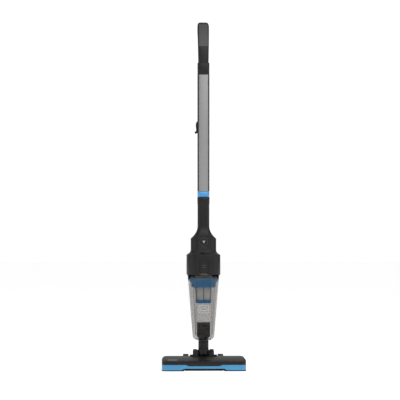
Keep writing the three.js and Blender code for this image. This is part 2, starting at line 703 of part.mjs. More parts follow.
/** The hand unit's body: motor housing, upper body and grip neck. */
function handUnitBody(inset, bottom, top) {
  const { step, halfWidth, halfDepth, collarHalf, corner } = GRIP_NECK;
  const neckEnd = { z: GRIP_NECK.bottom, halfWidth, front: -halfDepth, rear: halfDepth, corner };
  const bodyTop = { ...UPPER_BODY, z: UPPER_BODY.top };
  const bodyEnd = { ...UPPER_BODY, z: UPPER_BODY.bottom };
  const housingTop = { ...HOUSING, z: HOUSING.shoulder };
  return loft([
    section(bottom, HOUSING.halfWidth, HOUSING.front, HOUSING.rear, HOUSING.corner, inset),
    ...shoulderRings(bodyEnd, housingTop, 4, inset),
    ...shoulderRings(neckEnd, bodyTop, 5, inset),
    section(step - 1, halfWidth, -halfDepth, halfDepth, corner, inset),
    section(step, collarHalf, -collarHalf, collarHalf, corner, inset),
    section(top, collarHalf, -collarHalf, collarHalf, corner, inset),
  ]);
}

const BIN_BUTTON = { halfWidth: 13, bottom: 306, top: 349, depth: 4.5 };
const POWER_BUTTON = { radius: 12.5, z: 408 };
const WAND_BUTTON = { halfWidth: 6.5, bottom: 516, top: 534 };
const SOCKET = { z: 399, radius: 5.5 };
const VENT = { count: 7, pitch: 6, height: 30, width: 2.6 };

/** Exhaust slots through both side walls, behind the parting plane. */
function exhaustSlots() {
  const slots = Array.from({ length: VENT.count }, (_, index) => {
    const y = 9 + index * VENT.pitch;
    return block([-FAR, y, 318], [FAR, y + VENT.width, 318 + VENT.height]);
  });
  return slots.reduce((all, slot) => all.add(slot));
}

function makeHandUnitShells() {
  const outer = handUnitBody(0, HOUSING.bottom, GRIP_NECK.top);
  const inner = handUnitBody(WALL, HOUSING.bottom - 1, GRIP_NECK.top + 1);
  const shell = outer.subtract(inner);
  const wide = BIN_BUTTON.halfWidth + 1;
  const recess = block(
    [-wide, HOUSING.front - 5, HOUSING.bottom - 1],
    [wide, HOUSING.front + 1.6, BIN_BUTTON.top + 6],
  );
  const buttonHole = block(
    [-BIN_BUTTON.halfWidth - GAP, HOUSING.front - 5, BIN_BUTTON.bottom - GAP],
    [BIN_BUTTON.halfWidth + GAP, HOUSING.front + 8, BIN_BUTTON.top + GAP],
  );
  const powerHole = rod([0, -60, POWER_BUTTON.z], [0, -25, POWER_BUTTON.z], POWER_BUTTON.radius + GAP, 32);
  const ledge = block(
    [-wide - 3, HOUSING.front + WALL - 0.2, HOUSING.bottom],
    [wide + 3, HOUSING.front + 4, BIN_BUTTON.top + 2],
  ).subtract(buttonHole);
  const front = halfOf(shell.subtract(recess).add(ledge), 'front').subtract(buttonHole).subtract(powerHole);
  piece('body_front_shell', front, FINISH.blackPlastic);

  const wandHole = block(
    [-WAND_BUTTON.halfWidth - GAP, 10, WAND_BUTTON.bottom - GAP],
    [WAND_BUTTON.halfWidth + GAP, 30, WAND_BUTTON.top + GAP],
  );
  const socketHole = rod([0, 30, SOCKET.z], [0, 60, SOCKET.z], SOCKET.radius + GAP, 24);
  const rear = halfOf(shell.subtract(exhaustSlots()), 'rear').subtract(wandHole).subtract(socketHole);
  piece('body_rear_shell', rear, FINISH.blackPlastic);
}

function makeControls() {
  const power = rod([0, -36, POWER_BUTTON.z], [0, -31.5, POWER_BUTTON.z], POWER_BUTTON.radius, 32);
  const downTriangle = (half, from, to) => {
    const top = POWER_BUTTON.z + half * 0.8;
    return slabAcrossY(outlineOf([[-half, top], [0, POWER_BUTTON.z - half], [half, top]]), from, to);
  };
  piece('power_button', power.subtract(downTriangle(5.2, -40, -20)), FINISH.darkPlastic);
  piece('charge_indicator', downTriangle(4.6, -36.2, -31.5), FINISH.lamp);

  const board = block([-28, -27.5, 388], [28, -25.9, 416]);
  const chip = block([-6, -25.95, 394], [6, -23.5, 404]);
  piece('circuit_board', board.add(chip), FINISH.board);

  const face = block(
    [-BIN_BUTTON.halfWidth, HOUSING.front + 1, BIN_BUTTON.bottom],
    [BIN_BUTTON.halfWidth, HOUSING.front + BIN_BUTTON.depth, BIN_BUTTON.top],
  );
  const grip = block([-10, HOUSING.front + 0.2, 328], [10, HOUSING.front + 1.1, 330]);
  const tongue = block(
    [-9, HOUSING.front + 3, BIN_BUTTON.bottom],
    [9, HOUSING.front + 6.5, BIN_BUTTON.bottom + 5],
  );
  piece('bin_release_button', face.add(grip).add(tongue), FINISH.darkPlastic);

  const push = block(
    [-WAND_BUTTON.halfWidth, 17.3, WAND_BUTTON.bottom],
    [WAND_BUTTON.halfWidth, 20.4, WAND_BUTTON.top],
  );
  piece('wand_release_button', push, FINISH.darkPlastic);

  const barrel = pipe([0, 28, SOCKET.z], [0, 41.6, SOCKET.z], SOCKET.radius, 2.8);
  piece('charging_socket', barrel, FINISH.rubber);
}

function makeDriveUnit() {
  const at = (z) => [0, FAN.y, z];
  const shroud = rod(at(FAN.bottom), at(FAN.top), FAN.radius, 40)
    .subtract(rod(at(FAN.bottom + 1.8), at(FAN.top + 1), FAN.radius - 1.8, 40))
    .subtract(rod(at(FAN.bottom - 1), at(FAN.bottom + 5), 14, 32));
  piece('fan_shroud', shroud, FINISH.darkPlastic);

  let impeller = rod(at(FAN.top - 5), at(FAN.top - 3.4), FAN.radius - 3.5, 32);
  impeller = impeller.add(rod(at(FAN.bottom + 5), at(FAN.top - 4), 6, 24, 4.5));
  impeller = impeller.add(rod(at(FAN.top - 4), at(MOTOR.bottom + 12), 2.5, 16));
  const blades = 9;
  for (let index = 0; index < blades; index += 1) {
    const blade = new THREE.BoxGeometry(17, 1.4, 12);
    blade.translate(13.5, 3, 0);
    blade.rotateZ((index * 2 * Math.PI) / blades);
    blade.translate(0, FAN.y, FAN.bottom + 11.5);
    impeller = impeller.add(solid(blade));
  }
  piece('impeller', impeller, FINISH.greyMetal);

  const can = rod(at(MOTOR.bottom), at(MOTOR.top), MOTOR.radius, 36);
  const boss = rod(at(MOTOR.top), at(MOTOR.top + 5), 7, 24);
  const bore = rod(at(MOTOR.bottom - 1), at(MOTOR.bottom + 14), 2.5 + GAP, 16);
  piece('motor_can', can.add(boss).subtract(bore), FINISH.steel);

  const carrier = block([-44, -36, MOTOR.bottom - 3], [44, 14, MOTOR.bottom - GAP])
    .subtract(rod(at(MOTOR.bottom - 5), at(MOTOR.bottom + 1), 9, 28));
  piece('motor_bracket', carrier, FINISH.darkPlastic);
}

function makeBattery() {
  const rows = [[28.4, 331], [28.4, 350], [47.4, 331], [47.4, 350]];
  rows.forEach(([y, z], index) => {
    const half = CELL.length / 2;
    const can = rod([-half, y, z], [half - 1.5, y, z], CELL.radius, 28);
    const tip = rod([half - 1.6, y, z], [half, y, z], 3.5, 20);
    piece(`battery_cell_${index + 1}`, can.add(tip), FINISH.cellWrap);
  });
  const tray = block([-36, 18, 317.5], [36, 54, 321.5]);
  const ends = [-1, 1].map((side) => {
    const [low, high] = [side * 33.2, side * 36].sort((a, b) => a - b);
    return block([low, 18, 317.5], [high, 54, 352]);
  });
  piece('battery_tray', tray.add(ends[0]).add(ends[1]), FINISH.darkPlastic);
}

function makeHandUnit() {
  makeHandUnitShells();
  makeControls();
  makeDriveUnit();
  makeBattery();
  const well = (low, high) => loft([low, high].map((z) => section(z, 14.3, -11.3, 11.3, 3)));
  const collar = loft([
    section(BLUE_COLLAR.bottom, 18.6, -17.5, 17.5, 8),
    section(BLUE_COLLAR.top, 18.6, -16.2, 16.2, 8),
  ]);
  const throughCollar = well(BLUE_COLLAR.bottom - 1, BLUE_COLLAR.top + 1);
  piece('blue_collar', collar.subtract(throughCollar), FINISH.bluePlastic);
  const liner = loft([500, BLUE_COLLAR.bottom - GAP].map((z) => section(z, 15.7, -13.4, 13.4, 4)));
  piece('wand_socket', liner.subtract(well(503, BLUE_COLLAR.bottom + 5)), FINISH.darkPlastic);
}

// ---------------------------------------------------------------- wand

function makeWand() {
  const { bottom, top, halfWidth, halfDepth, corner, wall } = WAND;
  const tube = loft([bottom, top].map((z) => section(z, halfWidth, -halfDepth, halfDepth, corner)));
  const hollow = loft([
    section(bottom - 1, halfWidth, -halfDepth, halfDepth, corner, wall + STRIP.thickness),
    section(top + 1, halfWidth, -halfDepth, halfDepth, corner, wall + STRIP.thickness),
  ]);
  const channel = block(
    [-STRIP.halfWidth - GAP, -halfDepth - 1, bottom - 1],
    [STRIP.halfWidth + GAP, -halfDepth + STRIP.thickness, top + 1],
  );
  piece('wand_tube', tube.subtract(hollow).subtract(channel), FINISH.darkMetal);
  const strip = block(
    [-STRIP.halfWidth, -halfDepth - 0.3, bottom + 0.5],
    [STRIP.halfWidth, -halfDepth + STRIP.thickness - GAP, top - 0.5],
  );
  piece('wand_front_strip', strip, FINISH.greyMetal);

  const plug = loft([section(504, 13.8, -10.8, 10.8, 3), section(bottom + 30, 13.8, -10.8, 10.8, 3)]);
  piece('wand_plug', plug, FINISH.darkPlastic);

  const clipOutline = outlineOf([
    [-halfWidth - GAP, CLIP.bottom + 2], [-halfWidth - 6.5, CLIP.bottom], [-halfWidth - 9, CLIP.bottom + 3],
    [-halfWidth - 8.4, CLIP.bottom + 8],
    [-halfWidth - 5.6, CLIP.bottom + 6.5],
    [-halfWidth - 4, CLIP.bottom + 12],
    [-halfWidth - 5.2, CLIP.top - 18], [-halfWidth - 5.4, CLIP.top - 10], [-halfWidth - 3.6, CLIP.top - 3],
    [-halfWidth - GAP, CLIP.top],
  ]);
  const clip = slabAcrossY(clipOutline, -8, 8);
  piece('accessory_clip', clip, FINISH.blackPlastic);
}

// ---------------------------------------------------------------- handle

/** The handle's centre line in the Y-Z plane, leaning back towards its top. */
const HANDLE_PATH = new THREE.CubicBezierCurve(
  new THREE.Vector2(0, HANDLE.bottom),
  new THREE.Vector2(0, 1030),
  new THREE.Vector2(5, 1081),
  new THREE.Vector2(51, 1102.9),
);

/** Shares of the centre line where the sweep has a ring; they crowd together at the rounded end. */
const HANDLE_STATIONS = [0, 0.14, 0.28, 0.4, 0.52, 0.63, 0.73, 0.82, 0.88, 0.92, 0.95, 0.975, 0.991, 1];
const DOME_START = 0.82; // share of the centre line where the end starts to round off
const DOME_DEPTH = 9; // how far the outline has shrunk at the very end

/** How far the outline has shrunk at one share of the centre line. */
function domeShrink(share) {
  const into = Math.max(0, (share - DOME_START) / (1 - DOME_START));
  return DOME_DEPTH * (1 - Math.sqrt(1 - into ** 2));
}

/** A sweep along part of the handle's centre line; near and far are distances in front of and behind it. */
function handleSweep({ halfWidthAt, near, far, corner, from = 0, to = 1, domed = false }) {
  const between = HANDLE_STATIONS.filter((share) => share > from + 0.02 && share < to - 0.005);
  const stations = [from, ...between, to];
  const rings = stations.map((share) => {
    const centre = HANDLE_PATH.getPoint(share);
    const along = HANDLE_PATH.getTangent(share);
    const behind = new THREE.Vector2(along.y, -along.x);
    const shrink = domed ? domeShrink(share) : 0;
    const outline = roundedOutline(halfWidthAt(share) - shrink, near + shrink, far - shrink, corner, 3);
    return outline.map(([x, depth]) => {
      const at = centre.clone().addScaledVector(behind, depth);
      return new THREE.Vector3(x, at.x, at.y);
    });
  });
  return loft(rings);
}

function makeHandle() {
  const handleWidth = (share) => THREE.MathUtils.lerp(HANDLE.halfWidth, HANDLE.topHalfWidth, share);
  const depth = HANDLE.halfDepth;
  const outer = handleSweep({
    halfWidthAt: handleWidth,
    near: -depth,
    far: depth,
    corner: HANDLE.corner - 1,
    domed: true,
  });
  const hollow = handleSweep({
    halfWidthAt: (share) => handleWidth(share) - WALL - 1,
    near: -depth + WALL + 2,
    far: depth - WALL - 1,
    corner: 3,
    from: 0.02,
    to: 0.82,
  });
  const half = (near, far) => handleSweep({ halfWidthAt: () => 60, near, far, corner: 1 });
  const padRoom = handleSweep({
    halfWidthAt: () => STRIP.halfWidth + GAP,
    near: -30,
    far: -depth + 1.8,
    corner: 0.5,
    from: 0.325,
    to: 0.865,
  });
  const shell = outer.subtract(hollow);
  const front = shell.intersect(half(-30, -GAP / 2)).subtract(padRoom);
  piece('handle_front_shell', front, FINISH.blackPlastic);
  piece('handle_rear_shell', shell.intersect(half(GAP / 2, 30)), FINISH.blackPlastic);
  const pad = handleSweep({
    halfWidthAt: () => STRIP.halfWidth,
    near: -depth - 0.4,
    far: -depth + 1.5,
    corner: 0.5,
    from: 0.33,
    to: 0.86,
  });
  piece('handle_grip_pad', pad, FINISH.softGrip);

  const box = (low, high, halfWidth, halfDepth, corner) =>
    loft([low, high].map((z) => section(z, halfWidth, -halfDepth, halfDepth, corner)));
  const collar = box(WAND.top + GAP, HANDLE.collarTop, 18.7, 15.2, 6);
  const spigot = box(WAND.top - 35, WAND.top + 1, 15.3, 11.4, 3);
  piece('handle_collar', collar.add(spigot), FINISH.blackPlastic);
}

makeBumper();
makeTopCover();
makeBase();
makeBrush();
makeDrive();
makeWheels();
makePivot();
makeNeck();
makeBin();
makeFilter();
makeHandUnit();
makeWand();
makeHandle();

export default group;
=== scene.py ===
import json
import logging
import math
from dataclasses import dataclass, field
from enum import Enum

import bpy
import numpy as np
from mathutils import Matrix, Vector


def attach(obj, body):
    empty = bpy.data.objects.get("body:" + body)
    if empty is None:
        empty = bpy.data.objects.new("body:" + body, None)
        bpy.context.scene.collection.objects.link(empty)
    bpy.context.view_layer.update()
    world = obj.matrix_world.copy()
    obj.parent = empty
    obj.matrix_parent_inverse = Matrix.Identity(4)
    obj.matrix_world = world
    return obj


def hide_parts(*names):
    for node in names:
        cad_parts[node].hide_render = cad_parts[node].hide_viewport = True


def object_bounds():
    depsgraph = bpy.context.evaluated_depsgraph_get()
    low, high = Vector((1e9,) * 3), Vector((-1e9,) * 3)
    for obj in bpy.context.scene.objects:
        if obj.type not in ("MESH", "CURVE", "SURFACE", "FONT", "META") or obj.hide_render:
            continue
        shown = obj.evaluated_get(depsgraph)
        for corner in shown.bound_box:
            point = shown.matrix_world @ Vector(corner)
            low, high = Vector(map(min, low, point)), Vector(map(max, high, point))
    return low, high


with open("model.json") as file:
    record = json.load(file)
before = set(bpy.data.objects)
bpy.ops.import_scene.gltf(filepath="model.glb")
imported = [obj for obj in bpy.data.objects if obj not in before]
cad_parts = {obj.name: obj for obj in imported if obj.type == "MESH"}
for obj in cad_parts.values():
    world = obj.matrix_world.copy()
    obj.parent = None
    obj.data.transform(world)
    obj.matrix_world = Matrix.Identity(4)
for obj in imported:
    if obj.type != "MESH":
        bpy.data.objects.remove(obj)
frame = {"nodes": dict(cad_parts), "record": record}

CAD_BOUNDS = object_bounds()
LOG = logging.getLogger("stick_vacuum")
MM = 0.001


# ---------------------------------------------------------------- node trees


class Wiring:
    """Adds nodes to one node tree and links them by socket name."""

    def __init__(self, tree: bpy.types.NodeTree) -> None:
        """Keeps the tree that the nodes go into."""
        self.tree = tree

    def add(self, kind: str, **values: object) -> bpy.types.Node:
        """Makes a node.

        Args:
            kind: Blender's name for the node's type.
            values: node properties, or input socket values when the key is a socket name with spaces as _.

        Returns:
            The new node.
        """
        node = self.tree.nodes.new(kind)
        for key, value in values.items():
            socket = node.inputs.get(key.replace("_", " ")) or node.inputs.get(key)
            if socket is not None and not hasattr(node, key):
                socket.default_value = value
            else:
                setattr(node, key, value)
        return node

    def link(
        self, source: bpy.types.Node, output: str | int, target: bpy.types.Node, socket: str | int
    ) -> None:
        """Links one output to one input.

        Args:
            source: the node that gives the value.
            output: the name or number of its output.
            target: the node that takes the value.
            socket: the name or number of its input.
        """
        self.tree.links.new(source.outputs[output], target.inputs[socket])

    def math(
        self, operation: str, first: object, second: object = 0.0, clamp: bool = False
    ) -> bpy.types.Node:
        """Makes a math node.

        Args:
            operation: Blender's name for the sum.
            first: a number, or a (node, output) pair.
            second: a number, or a (node, output) pair.
            clamp: whether the result is kept between 0 and 1.

        Returns:
            The new node.
        """
        node = self.tree.nodes.new("ShaderNodeMath")
        node.operation = operation
        node.use_clamp = clamp
        for index, value in enumerate((first, second)):
            if isinstance(value, tuple):
                self.link(value[0], value[1], node, index)
            else:
                node.inputs[index].default_value = value
        return node

    def ramp(self, source: bpy.types.Node, output: str | int, low: float, high: float) -> bpy.types.Node:
        """Stretches a value so that low becomes 0 and high becomes 1.

        Args:
            source: the node that gives the value.
            output: the name or number of its output.
            low: the value that becomes 0.
            high: the value that becomes 1.

        Returns:
            The map range node, whose output 0 is the result.
        """
        node = self.tree.nodes.new("ShaderNodeMapRange")
        node.inputs["From Min"].default_value = low
        node.inputs["From Max"].default_value = high
        self.link(source, output, node, "Value")
        return node


class EffectName(Enum):
    """The shared effects, by the name of their node group."""

    GRAIN = "moulded_grain"
    WEAR = "edge_wear"
    DUST = "settled_dust"
    STREAKS = "brushed_streaks"
    CLOTH = "felt_fibres"


class Effects:
    """Builds each shared shader node group once and places it in materials."""

    def __init__(self) -> None:
        """Builds all groups."""
        self.groups = {
            EffectName.GRAIN: self._grain(),
            EffectName.WEAR: self._wear(),
            EffectName.DUST: self._dust(),
            EffectName.STREAKS: self._streaks(),
            EffectName.CLOTH: self._cloth(),
        }

    @staticmethod
    def _begin(name: EffectName, inputs: dict[str, float], outputs: tuple[str, ...]) -> tuple:
        """Starts a group with named float sockets.

        Args:
            name: the group's name.
            inputs: each input's name and default.
            outputs: the outputs' names.

        Returns:
            The group, its wiring, its input node and its output node.
        """
        group = bpy.data.node_groups.new(name.value, "ShaderNodeTree")
        for label, default in inputs.items():
            socket = group.interface.new_socket(label, in_out="INPUT", socket_type="NodeSocketFloat")
            socket.default_value = default
        for label in outputs:
            group.interface.new_socket(label, in_out="OUTPUT", socket_type="NodeSocketFloat")
        wiring = Wiring(group)
        return group, wiring, wiring.add("NodeGroupInput"), wiring.add("NodeGroupOutput")

    def _grain(self) -> bpy.types.NodeTree:
        """Fine spark-eroded texture of moulded plastic, with a slower unevenness of tone."""
        inputs = {"Scale": 900.0, "Contrast": 1.0}
        group, wiring, ins, outs = self._begin(EffectName.GRAIN, inputs, ("Height", "Tone"))
        place = wiring.add("ShaderNodeTexCoord")
        fine = wiring.add("ShaderNodeTexNoise", Detail=3.0, Roughness=0.6)
        wiring.link(place, "Object", fine, "Vector")
        wiring.link(ins, "Scale", fine, "Scale")
        pits = wiring.add("ShaderNodeTexVoronoi")
        wiring.link(place, "Object", pits, "Vector")
        wiring.link(ins, "Scale", pits, "Scale")
        height = wiring.math("ADD", (fine, 0), (wiring.math("MULTIPLY", (pits, "Distance"), 0.6), 0))
        scaled = wiring.math("MULTIPLY", (height, 0), (ins, "Contrast"))
        wiring.link(scaled, 0, outs, "Height")
        slow = wiring.add("ShaderNodeTexNoise", Scale=14.0, Detail=4.0)
        wiring.link(place, "Object", slow, "Vector")
        wiring.link(wiring.ramp(slow, 0, 0.3, 0.7), 0, outs, "Tone")
        return group

    def _wear(self) -> bpy.types.NodeTree:
        """Rubbed edges: where the rounded normal differs from the true one, broken up by noise."""
        group, wiring, ins, outs = self._begin(EffectName.WEAR, {"Width": 0.0008, "Amount": 0.5}, ("Mask",))
        rounded = wiring.add("ShaderNodeBevel", samples=4)
        wiring.link(ins, "Width", rounded, "Radius")
        true_normal = wiring.add("ShaderNodeNewGeometry")
        dot = wiring.add("ShaderNodeVectorMath", operation="DOT_PRODUCT")
        wiring.link(rounded, 0, dot, 0)
        wiring.link(true_normal, "Normal", dot, 1)
        edge = wiring.ramp(dot, "Value", 0.995, 0.93)
        place = wiring.add("ShaderNodeTexCoord")
        patches = wiring.add("ShaderNodeTexNoise", Scale=160.0, Detail=5.0)
        wiring.link(place, "Object", patches, "Vector")
        broken = wiring.math("MULTIPLY", (edge, 0), (wiring.ramp(patches, 0, 0.42, 0.62), 0))
        wiring.link(wiring.math("MULTIPLY", (broken, 0), (ins, "Amount"), True), 0, outs, "Mask")
        return group

    def _dust(self) -> bpy.types.NodeTree:
        """A light film of dust on faces that look up."""
        group, wiring, ins, outs = self._begin(EffectName.DUST, {"Amount": 0.3}, ("Mask",))
        facing = wiring.add("ShaderNodeNewGeometry")
        split = wiring.add("ShaderNodeSeparateXYZ")
        wiring.link(facing, "Normal", split, 0)
        up = wiring.ramp(split, "Z", 0.35, 0.95)
        place = wiring.add("ShaderNodeTexCoord")
        cloud = wiring.add("ShaderNodeTexNoise", Scale=55.0, Detail=7.0, Roughness=0.65)
        wiring.link(place, "Object", cloud, "Vector")
        film = wiring.math("MULTIPLY", (up, 0), (wiring.ramp(cloud, 0, 0.38, 0.75), 0))
        wiring.link(wiring.math("MULTIPLY", (film, 0), (ins, "Amount"), True), 0, outs, "Mask")
        return group

    def _streaks(self) -> bpy.types.NodeTree:
        """Fine lines drawn along Z, as drawing or brushing leaves them on metal."""
        group, wiring, ins, outs = self._begin(EffectName.STREAKS, {"Scale": 1400.0}, ("Height", "Tone"))
        place = wiring.add("ShaderNodeTexCoord")
        stretch = wiring.add("ShaderNodeMapping")
        stretch.inputs["Scale"].default_value = (1.0, 1.0, 0.006)
        wiring.link(place, "Object", stretch, "Vector")
        lines = wiring.add("ShaderNodeTexNoise", Detail=3.0)
        wiring.link(stretch, 0, lines, "Vector")
        wiring.link(ins, "Scale", lines, "Scale")
        wiring.link(lines, 0, outs, "Height")
        broad = wiring.add("ShaderNodeTexNoise", Scale=180.0, Detail=2.0)
        wiring.link(stretch, 0, broad, "Vector")
        wiring.link(wiring.ramp(broad, 0, 0.3, 0.7), 0, outs, "Tone")
        return group

    def _cloth(self) -> bpy.types.NodeTree:
        """Tangled fibres of felt or filter paper."""
        group, wiring, ins, outs = self._begin(EffectName.CLOTH, {"Scale": 700.0}, ("Height", "Tone"))
        place = wiring.add("ShaderNodeTexCoord")
        fibres = wiring.add("ShaderNodeTexNoise", Detail=8.0, Roughness=0.75, Distortion=1.6)
        wiring.link(place, "Object", fibres, "Vector")
        wiring.link(ins, "Scale", fibres, "Scale")
        wiring.link(fibres, 0, outs, "Height")
        wiring.link(wiring.ramp(fibres, 0, 0.35, 0.65), 0, outs, "Tone")
        return group

    def place(self, wiring: Wiring, name: EffectName, **values: float) -> bpy.types.Node:
        """Places a group in a material.

        Args:
            wiring: the material's tree.
            name: which effect.
            values: the group's input values.

        Returns:
            The group node.
        """
        node = wiring.add("ShaderNodeGroup")
        node.node_tree = self.groups[name]
        for label, value in values.items():
            node.inputs[label].default_value = value
        return node


def linear(code: str) -> tuple[float, float, float, float]:
    """Turns a hexadecimal screen colour into linear light."""
    parts = [int(code[i : i + 2], 16) / 255 for i in (0, 2, 4)]
    red, green, blue = [c / 12.92 if c <= 0.04045 else ((c + 0.055) / 1.055) ** 2.4 for c in parts]
    return red, green, blue, 1.0


# ---------------------------------------------------------------- finishes


@dataclass(frozen=True)
class MouldedPlastic:
    """Moulded plastic: fine grain, uneven tone, rubbed edges and a little dust."""

    name: str
    colour: str
    worn: str
    roughness: float = 0.45
    grain: float = 900.0
    bump: float = 0.15
    wear: float = 0.5
    dust: float = 0.15
    coat: float = 0.0
    specular: float = 0.5

    def build(self, effects: Effects) -> bpy.types.Material:
        """Makes the material.

        Args:
            effects: the shared node groups.

        Returns:
            The material.
        """
        material, wiring, shader = begin_material(self.name)
        grain = effects.place(wiring, EffectName.GRAIN, Scale=self.grain)
        wear = effects.place(wiring, EffectName.WEAR, Amount=self.wear)
        dust = effects.place(wiring, EffectName.DUST, Amount=self.dust)
        base = linear(self.colour)
        darker = tuple(c * 0.86 for c in base[:3]) + (1.0,)
        tone = mixed(wiring, (grain, "Tone"), darker, base)
        rubbed = mixed(wiring, (wear, "Mask"), (tone, 2), linear(self.worn))
        dusty = mixed(wiring, (dust, "Mask"), (rubbed, 2), linear("8f8b84"))
        wiring.link(dusty, 2, shader, "Base Color")
        uneven = wiring.math("MULTIPLY_ADD", (grain, "Tone"), 0.07)
        uneven.inputs[2].default_value = self.roughness - 0.035
        rough = wiring.math("MULTIPLY_ADD", (dust, "Mask"), 0.5)
        wiring.link(uneven, 0, rough, 2)
        wiring.link(rough, 0, shader, "Roughness")
        bump(wiring, (grain, "Height"), shader, self.bump, 0.00006)
        shader.inputs["Coat Weight"].default_value = self.coat
        shader.inputs["Coat Roughness"].default_value = 0.12
        shader.inputs["Specular IOR Level"].default_value = self.specular
        return material


@dataclass(frozen=True)
class SoftRubber:
    """Soft-touch rubber or tyre compound."""

    name: str
    colour: str
    roughness: float = 0.78
    grain: float = 1500.0
    dust: float = 0.35

    def build(self, effects: Effects) -> bpy.types.Material:
        """Makes the material from the shared groups."""
        material, wiring, shader = begin_material(self.name)
        grain = effects.place(wiring, EffectName.GRAIN, Scale=self.grain)
        dust = effects.place(wiring, EffectName.DUST, Amount=self.dust)
        base = linear(self.colour)
        lighter = tuple(min(1.0, c * 1.25 + 0.002) for c in base[:3]) + (1.0,)
        tone = mixed(wiring, (grain, "Tone"), base, lighter)
        dusty = mixed(wiring, (dust, "Mask"), (tone, 2), linear("7d7a75"))
        wiring.link(dusty, 2, shader, "Base Color")
        uneven = wiring.math("MULTIPLY_ADD", (grain, "Tone"), 0.1)
        uneven.inputs[2].default_value = self.roughness - 0.05
        wiring.link(uneven, 0, shader, "Roughness")
        bump(wiring, (grain, "Height"), shader, 0.3, 0.00008)
        shader.inputs["Sheen Weight"].default_value = 0.08
        return material


@dataclass(frozen=True)
class Metal:
    """Metal or painted metal with drawn lines along its length."""

    name: str
    colour: str
    roughness: float
    metallic: float
    streak: float = 1400.0
    contrast: float = 0.12
    wear: float = 0.5

    def build(self, effects: Effects) -> bpy.types.Material:
        """Makes the material from the shared groups."""
        material, wiring, shader = begin_material(self.name)
        streaks = effects.place(wiring, EffectName.STREAKS, Scale=self.streak)
        wear = effects.place(wiring, EffectName.WEAR, Amount=self.wear)
        base = linear(self.colour)
        darker = tuple(c * (1 - self.contrast) for c in base[:3]) + (1.0,)
        tone = mixed(wiring, (streaks, "Tone"), darker, base)
        rubbed = mixed(wiring, (wear, "Mask"), (tone, 2), linear("c9cbcc"))
        wiring.link(rubbed, 2, shader, "Base Color")
        uneven = wiring.math("MULTIPLY_ADD", (streaks, "Tone"), 0.1)
        uneven.inputs[2].default_value = self.roughness - 0.05
        wiring.link(uneven, 0, shader, "Roughness")
        shader.inputs["Metallic"].default_value = self.metallic
        bump(wiring, (streaks, "Height"), shader, 0.1, 0.00003)
        return material


@dataclass(frozen=True)
class SmokedClear:
    """Smoked clear plastic of the dust bin, whose tint and gloss change slowly over its walls."""

    name: str
    colour: str
    roughness: float = 0.02

    def build(self, effects: Effects) -> bpy.types.Material:
        """Makes the material from the shared groups."""
        material, wiring, shader = begin_material(self.name)
        haze = effects.place(wiring, EffectName.GRAIN, Scale=8.0)
        base = linear(self.colour)
        hazy = tuple(c * 0.94 for c in base[:3]) + (1.0,)
        tone = mixed(wiring, (haze, "Tone"), base, hazy)
        wiring.link(tone, 2, shader, "Base Color")
        uneven = wiring.math("MULTIPLY_ADD", (haze, "Tone"), 0.02)
        uneven.inputs[2].default_value = self.roughness
        wiring.link(uneven, 0, shader, "Roughness")
        shader.inputs["Transmission Weight"].default_value = 1.0
        shader.inputs["IOR"].default_value = 1.14
        return material


@dataclass(frozen=True)
class Fibre:
    """Filter cloth, felt or bristle: matt fibres with a soft sheen."""

    name: str
    colour: str
    shade: str
    scale: float = 700.0

    def build(self, effects: Effects) -> bpy.types.Material:
        """Makes the material from the shared groups."""
        material, wiring, shader = begin_material(self.name)
        cloth = effects.place(wiring, EffectName.CLOTH, Scale=self.scale)
        tone = mixed(wiring, (cloth, "Tone"), linear(self.shade), linear(self.colour))
        wiring.link(tone, 2, shader, "Base Color")
        shader.inputs["Roughness"].default_value = 0.95
        shader.inputs["Sheen Weight"].default_value = 0.3
        bump(wiring, (cloth, "Height"), shader, 0.6, 0.0003)
        return material


def begin_material(name: str) -> tuple[bpy.types.Material, Wiring, bpy.types.Node]:
    """Starts a node material.

    Args:
        name: the material's name.

    Returns:
        The material, the wiring of its tree and its Principled shader.
    """
    material = bpy.data.materials.new(name)
    material.use_nodes = True
    wiring = Wiring(material.node_tree)
    return material, wiring, material.node_tree.nodes["Principled BSDF"]


def mixed(wiring: Wiring, mask: tuple, first: object, second: object) -> bpy.types.Node:
    """Mixes two colours by a mask.

    Args:
        wiring: the tree.
        mask: the (node, output) pair that drives the mix.
        first: the colour, or (node, output) pair, where the mask is 0.
        second: the colour, or (node, output) pair, where the mask is 1.

    Returns:
        The mix node, whose output 2 is the colour.
    """
    node = wiring.tree.nodes.new("ShaderNodeMix")
    node.data_type = "RGBA"
    wiring.link(mask[0], mask[1], node, 0)
    for index, value in ((6, first), (7, second)):
        if isinstance(value, tuple) and isinstance(value[0], bpy.types.Node):
            wiring.link(value[0], value[1], node, index)
        else:
            node.inputs[index].default_value = value
    return node


def bump(wiring: Wiring, height: tuple, shader: bpy.types.Node, strength: float, distance: float) -> None:
    """Feeds a height into the shader's normal through a bump node."""
    node = wiring.add("ShaderNodeBump")
    node.inputs["Strength"].default_value = strength
    node.inputs["Distance"].default_value = distance
    wiring.link(height[0], height[1], node, "Height")
    wiring.link(node, 0, shader, "Normal")


